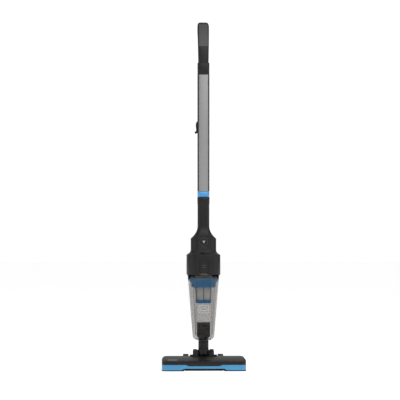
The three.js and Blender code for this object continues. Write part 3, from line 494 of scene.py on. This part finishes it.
class Finishes:
    """Every finish of the vacuum, built once and looked up by the record's slot."""

    def __init__(self) -> None:
        """Builds the materials."""
        effects = Effects()
        plastics = (
            MouldedPlastic("satin_black_plastic", "0a0a0b", "242424", roughness=0.44, specular=0.28),
            MouldedPlastic("matt_dark_plastic", "0b0b0c", "1f1f1f", roughness=0.55, wear=0.3, specular=0.3),
            MouldedPlastic("satin_blue_plastic", "3286c2", "6fb0dc", roughness=0.3, bump=0.06, coat=0.2),
            MouldedPlastic("milky_lens", "8c9093", "b5b8ba", roughness=0.2, bump=0.02, wear=0.1),
            MouldedPlastic("green_board", "1f5a38", "4f8a60", roughness=0.35, coat=0.3),
            MouldedPlastic("cell_wrap", "3c6f9e", "86a9c7", roughness=0.3, bump=0.03, coat=0.4),
        )
        built = [plastic.build(effects) for plastic in plastics]
        self.black, self.dark, self.blue, self.lens, self.board, self.wrap = built
        self.grip = SoftRubber("soft_grip_rubber", "383838", roughness=0.66, dust=0.08).build(effects)
        self.rubber = SoftRubber("black_rubber", "151515").build(effects)
        self.tyre = SoftRubber("tyre_rubber", "1c1c1d", grain=1100.0).build(effects)
        strip = Metal("grey_painted_metal", "7e7e7e", 0.42, 0.15, streak=900.0, contrast=0.1)
        self.grey = strip.build(effects)
        self.dark_metal = Metal("black_painted_metal", "1b1b1b", 0.38, 0.1).build(effects)
        self.steel = Metal("bright_steel", "b9bcbe", 0.28, 1.0, contrast=0.2).build(effects)
        self.brass = Metal("plain_brass", "b9953f", 0.32, 1.0, contrast=0.2).build(effects)
        self.clear = SmokedClear("smoked_clear_plastic", "c8c7c6").build(effects)
        self.cloth = Fibre("filter_cloth", "f2f1ee", "cbcac6").build(effects)
        self.bristle = Fibre("nylon_bristle", "2f74b8", "1d4f86", scale=1200.0).build(effects)
        self.foam = Fibre("exhaust_foam", "2b2b2b", "161616", scale=500.0).build(effects)
        # painted shade: this dark tint goes on bars inside the bin that stand for the dark lines its
        # refracting edges show
        refraction_line_finish = MouldedPlastic("dark_refraction_line_plastic", "262728", "3a3c3d", roughness=0.25, bump=0.02)
        self.refraction_shade = refraction_line_finish.build(effects)
        self.frost = MouldedPlastic("frosted_frame_plastic", "d4d6d7", "e6e8e9", roughness=0.4).build(effects)
        self.cage = MouldedPlastic("filter_cage_plastic", "3c5064", "5d7388", roughness=0.4).build(effects)
        # painted highlight: lighter grey on the latch ridges stands for the release button's lit ledge; the
        # power ring uses it as trim colour
        self.trim_and_highlight = MouldedPlastic("light_trim_and_highlight_plastic", "3a3a3a", "585858", roughness=0.45).build(effects)
        band = MouldedPlastic("smoked_band_plastic", "757069", "87827a", roughness=0.5, bump=0.05)
        self.band = band.build(effects)
        self.duct = MouldedPlastic("duct_plastic", "2c2c2c", "3f3f3f", roughness=0.5).build(effects)
        cover = MouldedPlastic("head_cover_plastic", "0d0c0b", "242220", roughness=0.34, specular=0.3)
        self.cover = cover.build(effects)
        bumper = MouldedPlastic("bumper_plastic", "3d86b2", "79b0d0", roughness=0.3, bump=0.06)
        self.bumper = bumper.build(effects)
        self.bar = Metal("plain_bar_metal", "8d9092", 0.42, 0.8, contrast=0.04, wear=0.0).build(effects)
        self.by_node = {
            "intake_frame": self.band,
            "filter_seal": self.band,
            "inlet_duct": self.duct,
            "head_top_cover": self.cover,
            "front_bumper": self.bumper,
        }
        self.by_slot = {
            "black_plastic": self.black,
            "dark_plastic": self.dark,
            "soft_grip": self.grip,
            "blue_plastic": self.blue,
            "grey_metal": self.grey,
            "dark_metal": self.dark_metal,
            "steel": self.steel,
            "brass": self.brass,
            "rubber": self.rubber,
            "tyre": self.tyre,
            "clear_bin": self.clear,
            "filter_cloth": self.cloth,
            "bristle": self.bristle,
            "board": self.board,
            "cell_wrap": self.wrap,
            "lamp": self.lens,
        }


# ---------------------------------------------------------------- CAD nodes


@dataclass
class FrameDresser:
    """Gives every CAD node its finish, rounded edges and smooth shading."""

    finishes: Finishes
    edge_radius: float = 0.5 * MM
    smooth_degrees: float = 32.0
    soft_edges: dict[str, float] = field(
        default_factory=lambda: {
            "head_top_cover": 0.9 * MM,
            "front_bumper": 0.8 * MM,
            "body_front_shell": 0.7 * MM,
            "body_rear_shell": 0.7 * MM,
            "blue_collar": 0.8 * MM,
            "handle_collar": 0.8 * MM,
            "bin_release_button": 0.8 * MM,
            "power_button": 0.7 * MM,
            "accessory_clip": 0.9 * MM,
            "pivot_bracket_left": 0.9 * MM,
            "pivot_bracket_right": 0.9 * MM,
        }
    )

    def smoothing_group(self) -> bpy.types.NodeTree:
        """Geometry nodes that merge the loose triangles and shade them smooth up to an angle."""
        group = bpy.data.node_groups.new("merge_and_smooth", "GeometryNodeTree")
        group.interface.new_socket("Geometry", in_out="INPUT", socket_type="NodeSocketGeometry")
        group.interface.new_socket("Geometry", in_out="OUTPUT", socket_type="NodeSocketGeometry")
        wiring = Wiring(group)
        ins, outs = wiring.add("NodeGroupInput"), wiring.add("NodeGroupOutput")
        merge = wiring.add("GeometryNodeMergeByDistance")
        merge.inputs["Distance"].default_value = 0.00001
        angle = wiring.add("GeometryNodeInputMeshEdgeAngle")
        sharp = wiring.add("FunctionNodeCompare", data_type="FLOAT", operation="LESS_EQUAL")
        sharp.inputs["B"].default_value = math.radians(self.smooth_degrees)
        edges = wiring.add("GeometryNodeSetShadeSmooth", domain="EDGE")
        faces = wiring.add("GeometryNodeSetShadeSmooth", domain="FACE")
        wiring.link(ins, 0, merge, "Geometry")
        wiring.link(angle, "Unsigned Angle", sharp, "A")
        wiring.link(merge, 0, faces, "Geometry")
        wiring.link(faces, 0, edges, "Geometry")
        wiring.link(sharp, 0, edges, "Shade Smooth")
        wiring.link(edges, 0, outs, 0)
        return group

    def dress(self, record: dict, nodes: dict) -> None:
        """Dresses all CAD nodes.

        Args:
            record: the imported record, which gives each node's slot.
            nodes: the CAD objects by name.
        """
        smoothing = self.smoothing_group()
        for entry in record["subparts"]:
            name = entry["node"]
            node = nodes[name]
            node.data.materials.clear()
            by_slot = self.finishes.by_slot[entry["material_slot"]]
            node.data.materials.append(self.finishes.by_node.get(name, by_slot))
            weld = node.modifiers.new("weld", "WELD")
            weld.merge_threshold = 0.00001
            bevel = node.modifiers.new("edges", "BEVEL")
            bevel.width = self.soft_edges.get(name, self.edge_radius)
            bevel.segments = 2
            bevel.limit_method = "ANGLE"
            bevel.angle_limit = math.radians(self.smooth_degrees + 3)
            bevel.use_clamp_overlap = True
            smooth = node.modifiers.new("smooth", "NODES")
            smooth.node_group = smoothing
            LOG.info("dressed %s", name)


# ---------------------------------------------------------------- surfaces


@dataclass
class Surface:
    """Gathers grids of points in millimetres and turns them into one mesh object."""

    name: str
    points: list[np.ndarray] = field(default_factory=list)
    faces: list[tuple[int, ...]] = field(default_factory=list)
    count: int = 0

    def grid(self, rings: np.ndarray, loop: bool = False) -> "Surface":
        """Skins a stack of rings: each point is joined to its neighbours along and across the rings.

        Args:
            rings: points as an array of rings, points in a ring, and x, y, z.
            loop: whether the last ring joins the first one. If not, both are closed with one face each.

        Returns:
            The same surface, so that calls can be chained.
        """
        rows, columns = rings.shape[:2]
        down = np.arange(rows if loop else rows - 1)[:, None]
        across = np.arange(columns)[None, :]
        right = (across + 1) % columns
        this, below = down * columns, (down + 1) % rows * columns
        quads = np.stack([this + across, this + right, below + right, below + across], -1)
        self.faces += [tuple(quad) for quad in (quads.reshape(-1, 4) + self.count).tolist()]
        if not loop:
            first = np.arange(columns)[::-1] + self.count
            last = np.arange(columns) + self.count + (rows - 1) * columns
            self.faces += [tuple(first.tolist()), tuple(last.tolist())]
        self.points.append(rings.reshape(-1, 3))
        self.count += rows * columns
        return self

    def grids(self, stacks: np.ndarray) -> "Surface":
        """Skins many equal stacks of rings, such as the tufts of a brush.

        Args:
            stacks: points as an array of stacks, rings, points in a ring, and x, y, z.

        Returns:
            The same surface.
        """
        copies, rows, columns = stacks.shape[:3]
        down = np.arange(rows - 1)[:, None]
        across = np.arange(columns)[None, :]
        right = (across + 1) % columns
        this, below = down * columns, (down + 1) * columns
        quads = np.stack([this + across, this + right, below + right, below + across], -1).reshape(-1, 4)
        shifts = np.arange(copies)[:, None, None] * rows * columns + self.count
        self.faces += [tuple(quad) for quad in (quads[None] + shifts).reshape(-1, 4).tolist()]
        ends = np.stack([np.arange(columns)[::-1], np.arange(columns) + (rows - 1) * columns])
        self.faces += [tuple(end) for end in (ends[None] + shifts).reshape(-1, columns).tolist()]
        self.points.append(stacks.reshape(-1, 3))
        self.count += copies * rows * columns
        return self

    def place(self, material: bpy.types.Material, body: str, slot: str) -> bpy.types.Object:
        """Makes the object.

        Args:
            material: its finish.
            body: the body of the frame that it moves with.
            slot: the record's material slot that its finish belongs to; not used.

        Returns:
            The new object.
        """
        mesh = bpy.data.meshes.new(self.name)
        mesh.from_pydata((np.concatenate(self.points) * MM).tolist(), [], self.faces)
        mesh.polygons.foreach_set("use_smooth", np.ones(len(mesh.polygons), dtype=bool))
        mesh.materials.append(material)
        mesh.update()
        piece = bpy.data.objects.new(self.name, mesh)
        bpy.context.scene.collection.objects.link(piece)
        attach(piece, body)
        LOG.info("made %s with %d faces", self.name, len(mesh.polygons))
        return piece


def rounded_rectangle(
    half_width: float, near: float, far: float, corner: float, steps: int = 6
) -> np.ndarray:
    """Points round a rectangle whose four corners are quarter circles.

    They run anticlockwise from the near right corner.

    Args:
        half_width: half its size along the first axis.
        near: its lower edge along the second axis.
        far: its upper edge along the second axis.
        corner: the radius of its corners.
        steps: how many straight pieces make up each corner.

    Returns:
        An array of pairs.
    """
    turn = np.linspace(0, np.pi / 2, steps + 1)
    starts = np.array([-0.5, 0.0, 0.5, 1.0]) * np.pi
    angles = (starts[:, None] + turn[None, :]).ravel()
    reach = half_width - corner
    centre_x = np.repeat([reach, reach, -reach, -reach], steps + 1)
    centre_y = np.repeat([near + corner, far - corner, far - corner, near + corner], steps + 1)
    return np.stack([centre_x + corner * np.cos(angles), centre_y + corner * np.sin(angles)], -1)


def at_level(outline: np.ndarray, z: float) -> np.ndarray:
    """A flat outline's points, all raised to one height.

    Args:
        outline: an array of x, y pairs.
        z: the height.

    Returns:
        An array of points.
    """
    return np.column_stack([outline, np.full(len(outline), z)])


def block_rings(
    low: tuple[float, float, float], high: tuple[float, float, float], corner: float
) -> np.ndarray:
    """A block with rounded upright edges, as two rings at its lowest and highest z.

    Args:
        low: its corner of least x, y and z.
        high: its corner of greatest x, y and z.
        corner: the radius of its upright edges.

    Returns:
        Rings of points.
    """
    middle = (low[0] + high[0]) / 2
    outline = rounded_rectangle((high[0] - low[0]) / 2, low[1], high[1], corner, 3)
    outline[:, 0] += middle
    return np.stack([at_level(outline, low[2]), at_level(outline, high[2])])


def turned(profile: np.ndarray, centre: tuple[float, float, float], axis: int, steps: int = 40) -> np.ndarray:
    """Turns a profile of (radius, distance along the axis) pairs round an axis through a point.

    Args:
        profile: an array of pairs.
        centre: a point on the axis.
        axis: 0, 1 or 2 for an axis along x, y or z.
        steps: how many points make up each ring.

    Returns:
        Rings of points.
    """
    angles = np.linspace(0, 2 * np.pi, steps, endpoint=False)
    rings = np.zeros((len(profile), steps, 3))
    first, second = [other for other in range(3) if other != axis]
    rings[..., first] = profile[:, :1] * np.cos(angles)
    rings[..., second] = profile[:, :1] * np.sin(angles)
    rings[..., axis] = profile[:, 1:]
    return rings + np.array(centre)


# ---------------------------------------------------------------- dust bin


@dataclass
class DustBin:
    """The smoked clear bin with its raised frame and the dark bars that paint the shade lines of its
    refracting edges, all in millimetres.
    """

    bottom: float = 95.0
    top: float = 302.6
    wall: float = 2.0
    top_half_width: float = 50.3
    bottom_half_width: float = 33.6
    flat_half_width: float = 24.0
    top_front: float = -48.9
    bottom_front: float = -33.0
    top_rear: float = 48.9
    bottom_rear: float = 30.0
    foot_radius: float = 14.0
    neck_hole: float = 16.7
    samples: int = 180

    def share(self, z: np.ndarray) -> np.ndarray:
        """How far up the bin a height is, from 0 at its bottom to 1 at its top."""
        return (z - self.bottom) / (self.top - self.bottom)

    def front_at(self, z: np.ndarray) -> np.ndarray:
        """The y of the flat front panel at a height."""
        return self.bottom_front + (self.top_front - self.bottom_front) * self.share(z)

    def outline(self, share: float, inset: float) -> np.ndarray:
        """The bin's outline at one height, sampled at even angles round its axis.

        A flat front panel meets slanted corners, straight sides and a rounded rear. The corner points are
        joined by straight lines, and each sample is averaged with its neighbours, which rounds the corners.

        Args:
            share: how far up the bin, from 0 to 1.
            inset: how far inside the outer face.

        Returns:
            An array of x, y pairs.
        """
        side = self.bottom_half_width + (self.top_half_width - self.bottom_half_width) * share - inset
        front = self.bottom_front + (self.top_front - self.bottom_front) * share + inset
        rear = self.bottom_rear + (self.top_rear - self.bottom_rear) * share - inset
        flat = self.flat_half_width - inset * 0.4
        corner = 0.55 * (rear - 2)
        turn = np.linspace(0, np.pi / 2, 9)
        arc = np.column_stack([side - corner + corner * np.cos(turn), rear - corner + corner * np.sin(turn)])
        bends = [[flat, front], [side - 3, front * 0.45], [side - 0.6, front * 0.25], [side, 0]]
        right = np.vstack([*bends, arc])
        loop = np.vstack([right, right[::-1] * [-1, 1]])
        closed = np.vstack([loop, loop[:1]])
        lengths = np.r_[0, np.cumsum(np.hypot(*np.diff(closed, axis=0).T))]
        fine = np.linspace(0, lengths[-1], 2400, endpoint=False)
        dense = np.column_stack([np.interp(fine, lengths, closed[:, k]) for k in (0, 1)])
        angles = np.unwrap(np.arctan2(dense[:, 1], dense[:, 0]))
        wanted = angles[0] + np.linspace(0, 2 * np.pi, self.samples, endpoint=False)
        radius = np.interp(wanted, angles, np.hypot(*dense.T), period=2 * np.pi)
        radius = (np.roll(radius, 1) + 2 * radius + np.roll(radius, -1)) / 4
        return np.column_stack([radius * np.cos(wanted), radius * np.sin(wanted)])

    def wall_rings(self, inset: float, floor: float) -> np.ndarray:
        """Rings up one face of the wall: round the foot on a quarter circle, then straight up to the rim."""
        turn = np.linspace(0, np.pi / 2, 9)
        heights = np.r_[floor + self.foot_radius * (1 - np.cos(turn)), np.linspace(140, self.top, 9)]
        extra = np.r_[self.foot_radius * 0.75 * (1 - np.sin(turn)), np.zeros(9)]
        rings = [
            at_level(self.outline(self.share(z), inset + more), z)
            for z, more in zip(heights, extra)
        ]
        return np.stack(rings)

    def hole_ring(self, z: float, like: np.ndarray) -> np.ndarray:
        """A circle round the neck, its points at the same angles as another ring's."""
        angle = np.arctan2(like[:, 1], like[:, 0])
        return at_level(self.neck_hole * np.column_stack([np.cos(angle), np.sin(angle)]), z)

    def build(self, finishes: "Finishes") -> None:
        """Makes the bin's shell, the dark bars that paint its refraction shade lines, and its raised frame.
        """
        outer = self.wall_rings(0.0, self.bottom)
        inner = self.wall_rings(self.wall, self.bottom + self.wall)
        loop = np.concatenate(
            [
                self.hole_ring(self.bottom, outer[0])[None],
                outer,
                inner[::-1],
                self.hole_ring(self.bottom + self.wall, inner[0])[None],
            ]
        )
        shell = Surface("clear_bin_shell").grid(loop, loop=True).place(finishes.clear, "bin", "clear_bin")
        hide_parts("dust_bin")
        self._painted_refraction_lines(finishes)
        self._frame(finishes)

    def _painted_refraction_lines(self, finishes: "Finishes") -> None:
        """Two slim dark bars on each side of the flat panel's back, one upright and one following the taper:
        painted shade lines where the bin's edges refract.
        """
        surface = Surface("bin_painted_refraction_lines")
        heights = np.linspace(112, 274, 12)
        back = self.front_at(heights) + self.wall + 0.4
        for low_x, high_x in ((-24.6, -24.6), (25.6, 25.6), (-25.8, -33.4), (27.2, 33.8)):
            middle = low_x + (high_x - low_x) * (heights - heights[0]) / (heights[-1] - heights[0])
            deep = np.clip(np.abs(middle) - 25.0, 0, None) * 0.75
            corners = np.array([[-0.45, 0.0], [0.45, 0.0], [0.45, 1.6], [-0.45, 1.6]])
            rings = np.zeros((len(heights), 4, 3))
            rings[..., 0] = middle[:, None] + corners[:, 0]
            rings[..., 1] = (back + deep)[:, None] + corners[:, 1]
            rings[..., 2] = heights[:, None]
            surface.grid(rings)
        surface.place(finishes.refraction_shade, "bin", "clear_bin")

    def _frame(self, finishes: "Finishes") -> None:
        """A raised rounded frame on the front panel: a square section swept round a rounded rectangle."""
        surface = Surface("bin_raised_frame")
        outer, inner = (16.2, 182.6, 206.2, 3.0, 0.9), (11.0, 189.0, 199.8, 5.2, 0.7)
        for half_width, low, high, corner, thick in (outer, inner):
            path = rounded_rectangle(half_width, low, high, corner, 6)
            middle = np.array([0.0, (low + high) / 2])
            outward = path - middle
            outward /= np.linalg.norm(outward, axis=1, keepdims=True)
            offsets = [(0.0, 0.3), (0.0, -0.45), (thick, -0.45), (thick, 0.3)]
            rings = np.zeros((len(path), 4, 3))
            for index, (inward, rise) in enumerate(offsets):
                flat = path - outward * inward
                rings[:, index, 0] = flat[:, 0]
                rings[:, index, 1] = self.front_at(flat[:, 1]) + rise
                rings[:, index, 2] = flat[:, 1]
            surface.grid(rings, loop=True)
        surface.place(finishes.frost, "bin", "clear_bin")


# ---------------------------------------------------------------- filter


@dataclass
class Filter:
    """The pleated filter and the cage round it, in millimetres."""

    low: float = 222.9
    high: float = 280.2
    low_half: float = 24.0
    high_half: float = 29.6
    flatten: float = 0.86
    pleats: int = 44
    pleat_depth: float = 2.0

    def build(self, finishes: "Finishes") -> None:
        """Makes the pleats and the cage."""
        angles = np.linspace(0, 2 * np.pi, self.pleats * 2, endpoint=False)
        fold = np.where(np.arange(self.pleats * 2) % 2 == 0, self.pleat_depth, 0.0)
        heights = np.linspace(self.low, self.high, 5)
        half = np.interp(heights, [self.low, self.high], [self.low_half, self.high_half])
        radius = half[:, None] - 1.2 + fold[None, :] * 0.5
        levels = np.repeat(heights[:, None], len(angles), 1)
        rings = np.stack([radius * np.cos(angles), radius * np.sin(angles) * self.flatten, levels], -1)
        pleats = Surface("pleated_filter").grid(rings).place(finishes.cloth, "hand_unit", "filter_cloth")
        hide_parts("filter_sleeve")
        cage = Surface("filter_cage")
        for angle in np.radians(np.arange(-90, 270, 60)):
            outward = np.array([np.cos(angle), np.sin(angle) * self.flatten])
            sideways = np.array([-np.sin(angle), np.cos(angle)]) * 0.8
            rings = np.zeros((len(heights), 4, 3))
            for index, (step, side) in enumerate(((0.6, -1), (1.9, -1), (1.9, 1), (0.6, 1))):
                rings[:, index, :2] = outward * (half[:, None] + step) + sideways * side
                rings[:, index, 2] = heights
            cage.grid(rings)
        cage.place(finishes.cage, "hand_unit", "filter_cloth")


# ---------------------------------------------------------------- floor head


@dataclass
class FloorHead:
    """Fine pieces of the floor head, in millimetres."""

    brush_y: float = -46.0
    brush_z: float = 17.0
    core_radius: float = 8.6
    tip_radius: float = 15.6
    left: float = -99.0
    right: float = 107.0
    tufts: int = 96
    wheel_y: float = 34.0
    wheel_radius: float = 24.5
    wheel_outer: float = 64.0
    trim_inset: float = 2.2
    cover_front: tuple[float, float] = (-78.0, 30.0)
    cover_knee: tuple[float, float] = (-52.0, 40.0)
    cover_back: tuple[float, float] = (-16.0, 44.0)
    bar_left: float = -116.0
    bar_right: float = -84.0

    def build(self, finishes: "Finishes") -> None:
        """Makes the bristle tufts, the wheel trims, the bright bar and the wiper strip."""
        self._bristles(finishes)
        self._wheels(finishes)
        self._bar(finishes)
        self._felt(finishes)

    def _bristles(self, finishes: "Finishes") -> None:
        """Tufts in two helices: each is a six-sided spike that widens a little towards its tip."""
        for number, start in ((1, 20.0), (2, 200.0)):
            share = (np.arange(self.tufts) + 0.5) / self.tufts
            x = self.left + (self.right - self.left) * share
            angle = np.radians(start + 180 * share)
            out = np.stack([np.zeros_like(angle), np.cos(angle), np.sin(angle)], -1)
            side = np.stack([np.zeros_like(angle), -np.sin(angle), np.cos(angle)], -1)
            around = np.linspace(0, 2 * np.pi, 6, endpoint=False)
            radii = np.array([self.core_radius, self.tip_radius])
            widths = np.array([0.75, 1.15])
            centre = np.stack([x, np.full_like(x, self.brush_y), np.full_like(x, self.brush_z)], -1)
            stacks = (
                centre[:, None, None, :]
                + out[:, None, None, :] * radii[None, :, None, None]
                + side[:, None, None, :] * (widths[None, :, None] * np.sin(around))[..., None]
                + np.array([1.0, 0.0, 0.0]) * (widths[None, :, None] * np.cos(around))[..., None]
            )
            surface = Surface(f"bristle_tufts_{number}").grids(stacks)
            tufts = surface.place(finishes.bristle, "brush", "bristle")
            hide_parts(f"bristle_strip_{number}")

    def _wheels(self, finishes: "Finishes") -> None:
        """A hub cover with a raised ring on each wheel's outer side, turned round its axle."""
        for name, side in (("left", -1), ("right", 1)):
            radii = [7.3, 7.3, 9.5, 15.5, 18.6, 18.6]
            rise = [0.0, 1.2, 1.6, 1.6, 0.8, 0.0]
            profile = np.column_stack([radii, self.wheel_outer - self.trim_inset + np.array(rise)])
            profile[:, 1] *= side
            ring = turned(profile, (0.0, self.wheel_y, self.wheel_radius), 0, 48)
            surface = Surface(f"wheel_cover_{name}").grid(ring, loop=True)
            surface.place(finishes.dark, f"wheel_{name}", "dark_plastic")

    def _bar(self, finishes: "Finishes") -> None:
        """A slim bright bar with narrowed ends that lies on the sloping front of the cover.

        The slope is the curve that leaves its front point towards the knee and ends at its back point.
        """
        share = np.linspace(0.22, 0.33, 4)
        slope = [
            (1 - share) ** 2 * front + 2 * (1 - share) * share * knee + share**2 * back
            for front, knee, back in zip(self.cover_front, self.cover_knee, self.cover_back)
        ]
        y, z = slope
        across = np.linspace(self.bar_left, self.bar_right, 9)
        end = np.clip(np.minimum(across - self.bar_left, self.bar_right - across) / 1.5, 0.25, 1)
        middle_y, middle_z = y.mean(), z.mean()
        top = np.stack(
            [
                np.repeat(across[:, None], 4, 1),
                middle_y + (y - middle_y)[None, :] * end[:, None],
                middle_z + (z - middle_z)[None, :] * end[:, None] + 0.45,
            ],
            -1,
        )
        under = top[:, ::-1] - np.array([0, 0, 1.2])
        Surface("nameplate_bar").grid(np.concatenate([top, under], 1)).place(finishes.bar, "head", "steel")

    def _felt(self, finishes: "Finishes") -> None:
        """A dark wiper strip along the back of the air mouth, under the bumper."""
        rings = block_rings((-60.0, -62.5, 1.2), (60.0, -61.3, 8.0), 0.3)
        Surface("mouth_wiper").grid(rings).place(finishes.rubber, "head", "rubber")


# ---------------------------------------------------------------- hand unit


@dataclass
class HandUnit:
    """Fine pieces of the motor and battery body, in millimetres."""

    button_z: float = 408.0
    button_y: float = -35.1
    ring_radius: float = 13.2
    vent_low: float = 316.5
    vent_high: float = 349.5
    screw_radius: float = 3.1

    def build(self, finishes: "Finishes") -> None:
        """Makes the ring round the power button, the latch ridges with their painted highlight, the exhaust
        foam and the screws with their painted shade crosses.
        """
        self._ring(finishes)
        self._highlight_ridges(finishes)
        self._foam(finishes)
        self._screws(finishes)

    def _ring(self, finishes: "Finishes") -> None:
        """A thin bead round the power button: a circle turned round the button's axis."""
        turn = np.linspace(0, 2 * np.pi, 12, endpoint=False)
        profile = np.column_stack([self.ring_radius + 0.5 * np.cos(turn), self.button_y + 0.5 * np.sin(turn)])
        rings = turned(profile, (0.0, 0.0, self.button_z), 1, 64)
        Surface("power_ring").grid(rings, loop=True).place(finishes.trim_and_highlight, "hand_unit", "black_plastic")

    def _highlight_ridges(self, finishes: "Finishes") -> None:
        """Two short finger ridges on the bin's release button, in lighter grey: a painted highlight of the
        button's lit ledge.
        """
        surface = Surface("latch_highlight_ridges")
        for low in (326.6, 333.2):
            surface.grid(block_rings((-6.0, -50.4, low), (6.0, -48.6, low + 1.3), 0.4))
        surface.place(finishes.trim_and_highlight, "bin_latch", "dark_plastic")

    def _foam(self, finishes: "Finishes") -> None:
        """Exhaust foam behind the slots: a sheet bent round the body's rear corners."""
        for name, side in (("left", -1), ("right", 1)):
            outline = rounded_rectangle(49.8, -46.6, 58.6, 27.0, 16)
            half = outline[(outline[:, 0] > 30.0) & (outline[:, 1] > 4.0) & (outline[:, 1] < 53.0)]
            half = np.vstack([[49.8, 6.0], half])
            inner = half * [0.965, 0.985]
            loop = np.vstack([half, inner[::-1]]) * [side, 1]
            heights = np.linspace(self.vent_low, self.vent_high, 4)
            rings = np.stack([at_level(loop, z) for z in heights])
            Surface(f"exhaust_foam_{name}").grid(rings).place(finishes.foam, "hand_unit", "filter_cloth")

    def _screws(self, finishes: "Finishes") -> None:
        """Screw heads on the rear shell: each is a disc turned round y, and its cross is two dark bars that
        paint the shade in the cross recess.
        """
        surface = Surface("rear_screws")
        # painted shade: the crosses are dark plastic bars that stand for the shaded recess in the steel heads
        slots = Surface("screw_slot_painted_shade")
        for x, y, z in ((-17.0, 62.0, 311.0), (17.0, 62.0, 311.0), (0.0, 18.5, 480.0)):
            rim = self.screw_radius
            profile = np.array([[0.01, y + 0.25], [2.4, y + 0.2], [rim, y - 0.3], [rim, y - 0.9]])
            surface.grid(turned(profile, (x, 0.0, z), 1, 24))
            slots.grid(block_rings((x - 1.9, y + 0.1, z - 0.35), (x + 1.9, y + 0.34, z + 0.35), 0.1))
            slots.grid(block_rings((x - 0.35, y + 0.1, z - 1.9), (x + 0.35, y + 0.34, z + 1.9), 0.1))
        surface.place(finishes.steel, "hand_unit", "steel")
        slots.place(finishes.dark, "hand_unit", "dark_plastic")


# ---------------------------------------------------------------- light and camera


@dataclass
class Studio:
    """A pale floor, soft light and a long-lens camera in front of the vacuum."""

    distance: float = 8.0
    azimuth: float = -1.8
    frame_share: float = 0.8705
    side_offset: float = -10.9 * MM
    height_offset: float = -14.0 * MM
    floor_half: float = 14.0

    def build(self) -> None:
        """Makes the floor, the lights, the world and the camera."""
        low, high = CAD_BOUNDS
        self._floor()
        self._world()
        self._lights(high.z)
        self._camera(low.z, high.z)

    def _floor(self) -> None:
        """A wide level sheet."""
        half = self.floor_half
        corners = [(-half, -half, 0), (half, -half, 0), (half, half, 0), (-half, half, 0)]
        mesh = bpy.data.meshes.new("studio_floor")
        mesh.from_pydata(corners, [], [(0, 1, 2, 3)])
        floor = bpy.data.objects.new("studio_floor", mesh)
        bpy.context.scene.collection.objects.link(floor)
        material, _, shader = begin_material("pale_floor")
        shader.inputs["Base Color"].default_value = (0.9, 0.9, 0.9, 1.0)
        shader.inputs["Roughness"].default_value = 0.9
        shader.inputs["Specular IOR Level"].default_value = 0.1
        shader.inputs["Emission Color"].default_value = (1.0, 1.0, 1.0, 1.0)
        shader.inputs["Emission Strength"].default_value = 0.53
        mesh.materials.append(material)

    def _world(self) -> None:
        """White to the eye, softer as a light."""
        world = bpy.data.worlds.new("studio_world")
        world.use_nodes = True
        bpy.context.scene.world = world
        wiring = Wiring(world.node_tree)
        background = world.node_tree.nodes["Background"]
        background.inputs["Color"].default_value = (1.0, 1.0, 1.0, 1.0)
        ray = wiring.add("ShaderNodeLightPath")
        strength = wiring.math("MULTIPLY_ADD", (ray, "Is Camera Ray"), 0.55)
        strength.inputs[2].default_value = 0.5
        wiring.link(strength, 0, background, "Strength")

    def _lights(self, top: float) -> None:
        """A broad key from above the camera and two side softboxes."""
        self._area("key_light", (0.6, -2.6, top + 1.4), 2.4, 60.0)
        self._area("left_light", (-2.4, -1.2, 0.9), 1.4, 12.0)
        self._area("right_light", (2.4, -1.2, 0.9), 1.4, 12.0)

    @staticmethod
    def _area(name: str, place: tuple[float, float, float], size: float, power: float) -> None:
        """Adds a square area light aimed at the middle of the vacuum."""
        light = bpy.data.lights.new(name, "AREA")
        light.size = size
        light.energy = power
        lamp = bpy.data.objects.new(name, light)
        lamp.location = place
        lamp.rotation_euler = (Vector((0, 0, 0.5)) - Vector(place)).to_track_quat("-Z", "Y").to_euler()
        bpy.context.scene.collection.objects.link(lamp)

    def _camera(self, low: float, high: float) -> None:
        """A level camera whose lens makes the vacuum fill its share of the picture."""
        data = bpy.data.cameras.new("studio_camera")
        picture_height = (high - low) / self.frame_share
        data.sensor_width = 36.0
        data.lens = data.sensor_width * self.distance / picture_height
        camera = bpy.data.objects.new("studio_camera", data)
        turn = math.radians(self.azimuth)
        away = Vector((math.sin(turn), -math.cos(turn), 0.0)) * self.distance
        target = Vector((self.side_offset, 0.0, (low + high) / 2 + self.height_offset))
        camera.location = target + away
        camera.rotation_euler = (math.radians(90), 0.0, turn)
        bpy.context.scene.collection.objects.link(camera)
        bpy.context.scene.camera = camera


def main() -> None:
    """Dresses the frame, adds the fine pieces and sets up the studio."""
    logging.basicConfig(level=logging.INFO, format="%(name)s: %(message)s")
    bpy.context.scene.view_settings.view_transform = "Standard"
    finishes = Finishes()
    FrameDresser(finishes).dress(frame["record"], frame["nodes"])
    for assembly in (FloorHead(), DustBin(), Filter(), HandUnit()):
        assembly.build(finishes)
    Studio().build()


if __name__ == "__main__":
    main()
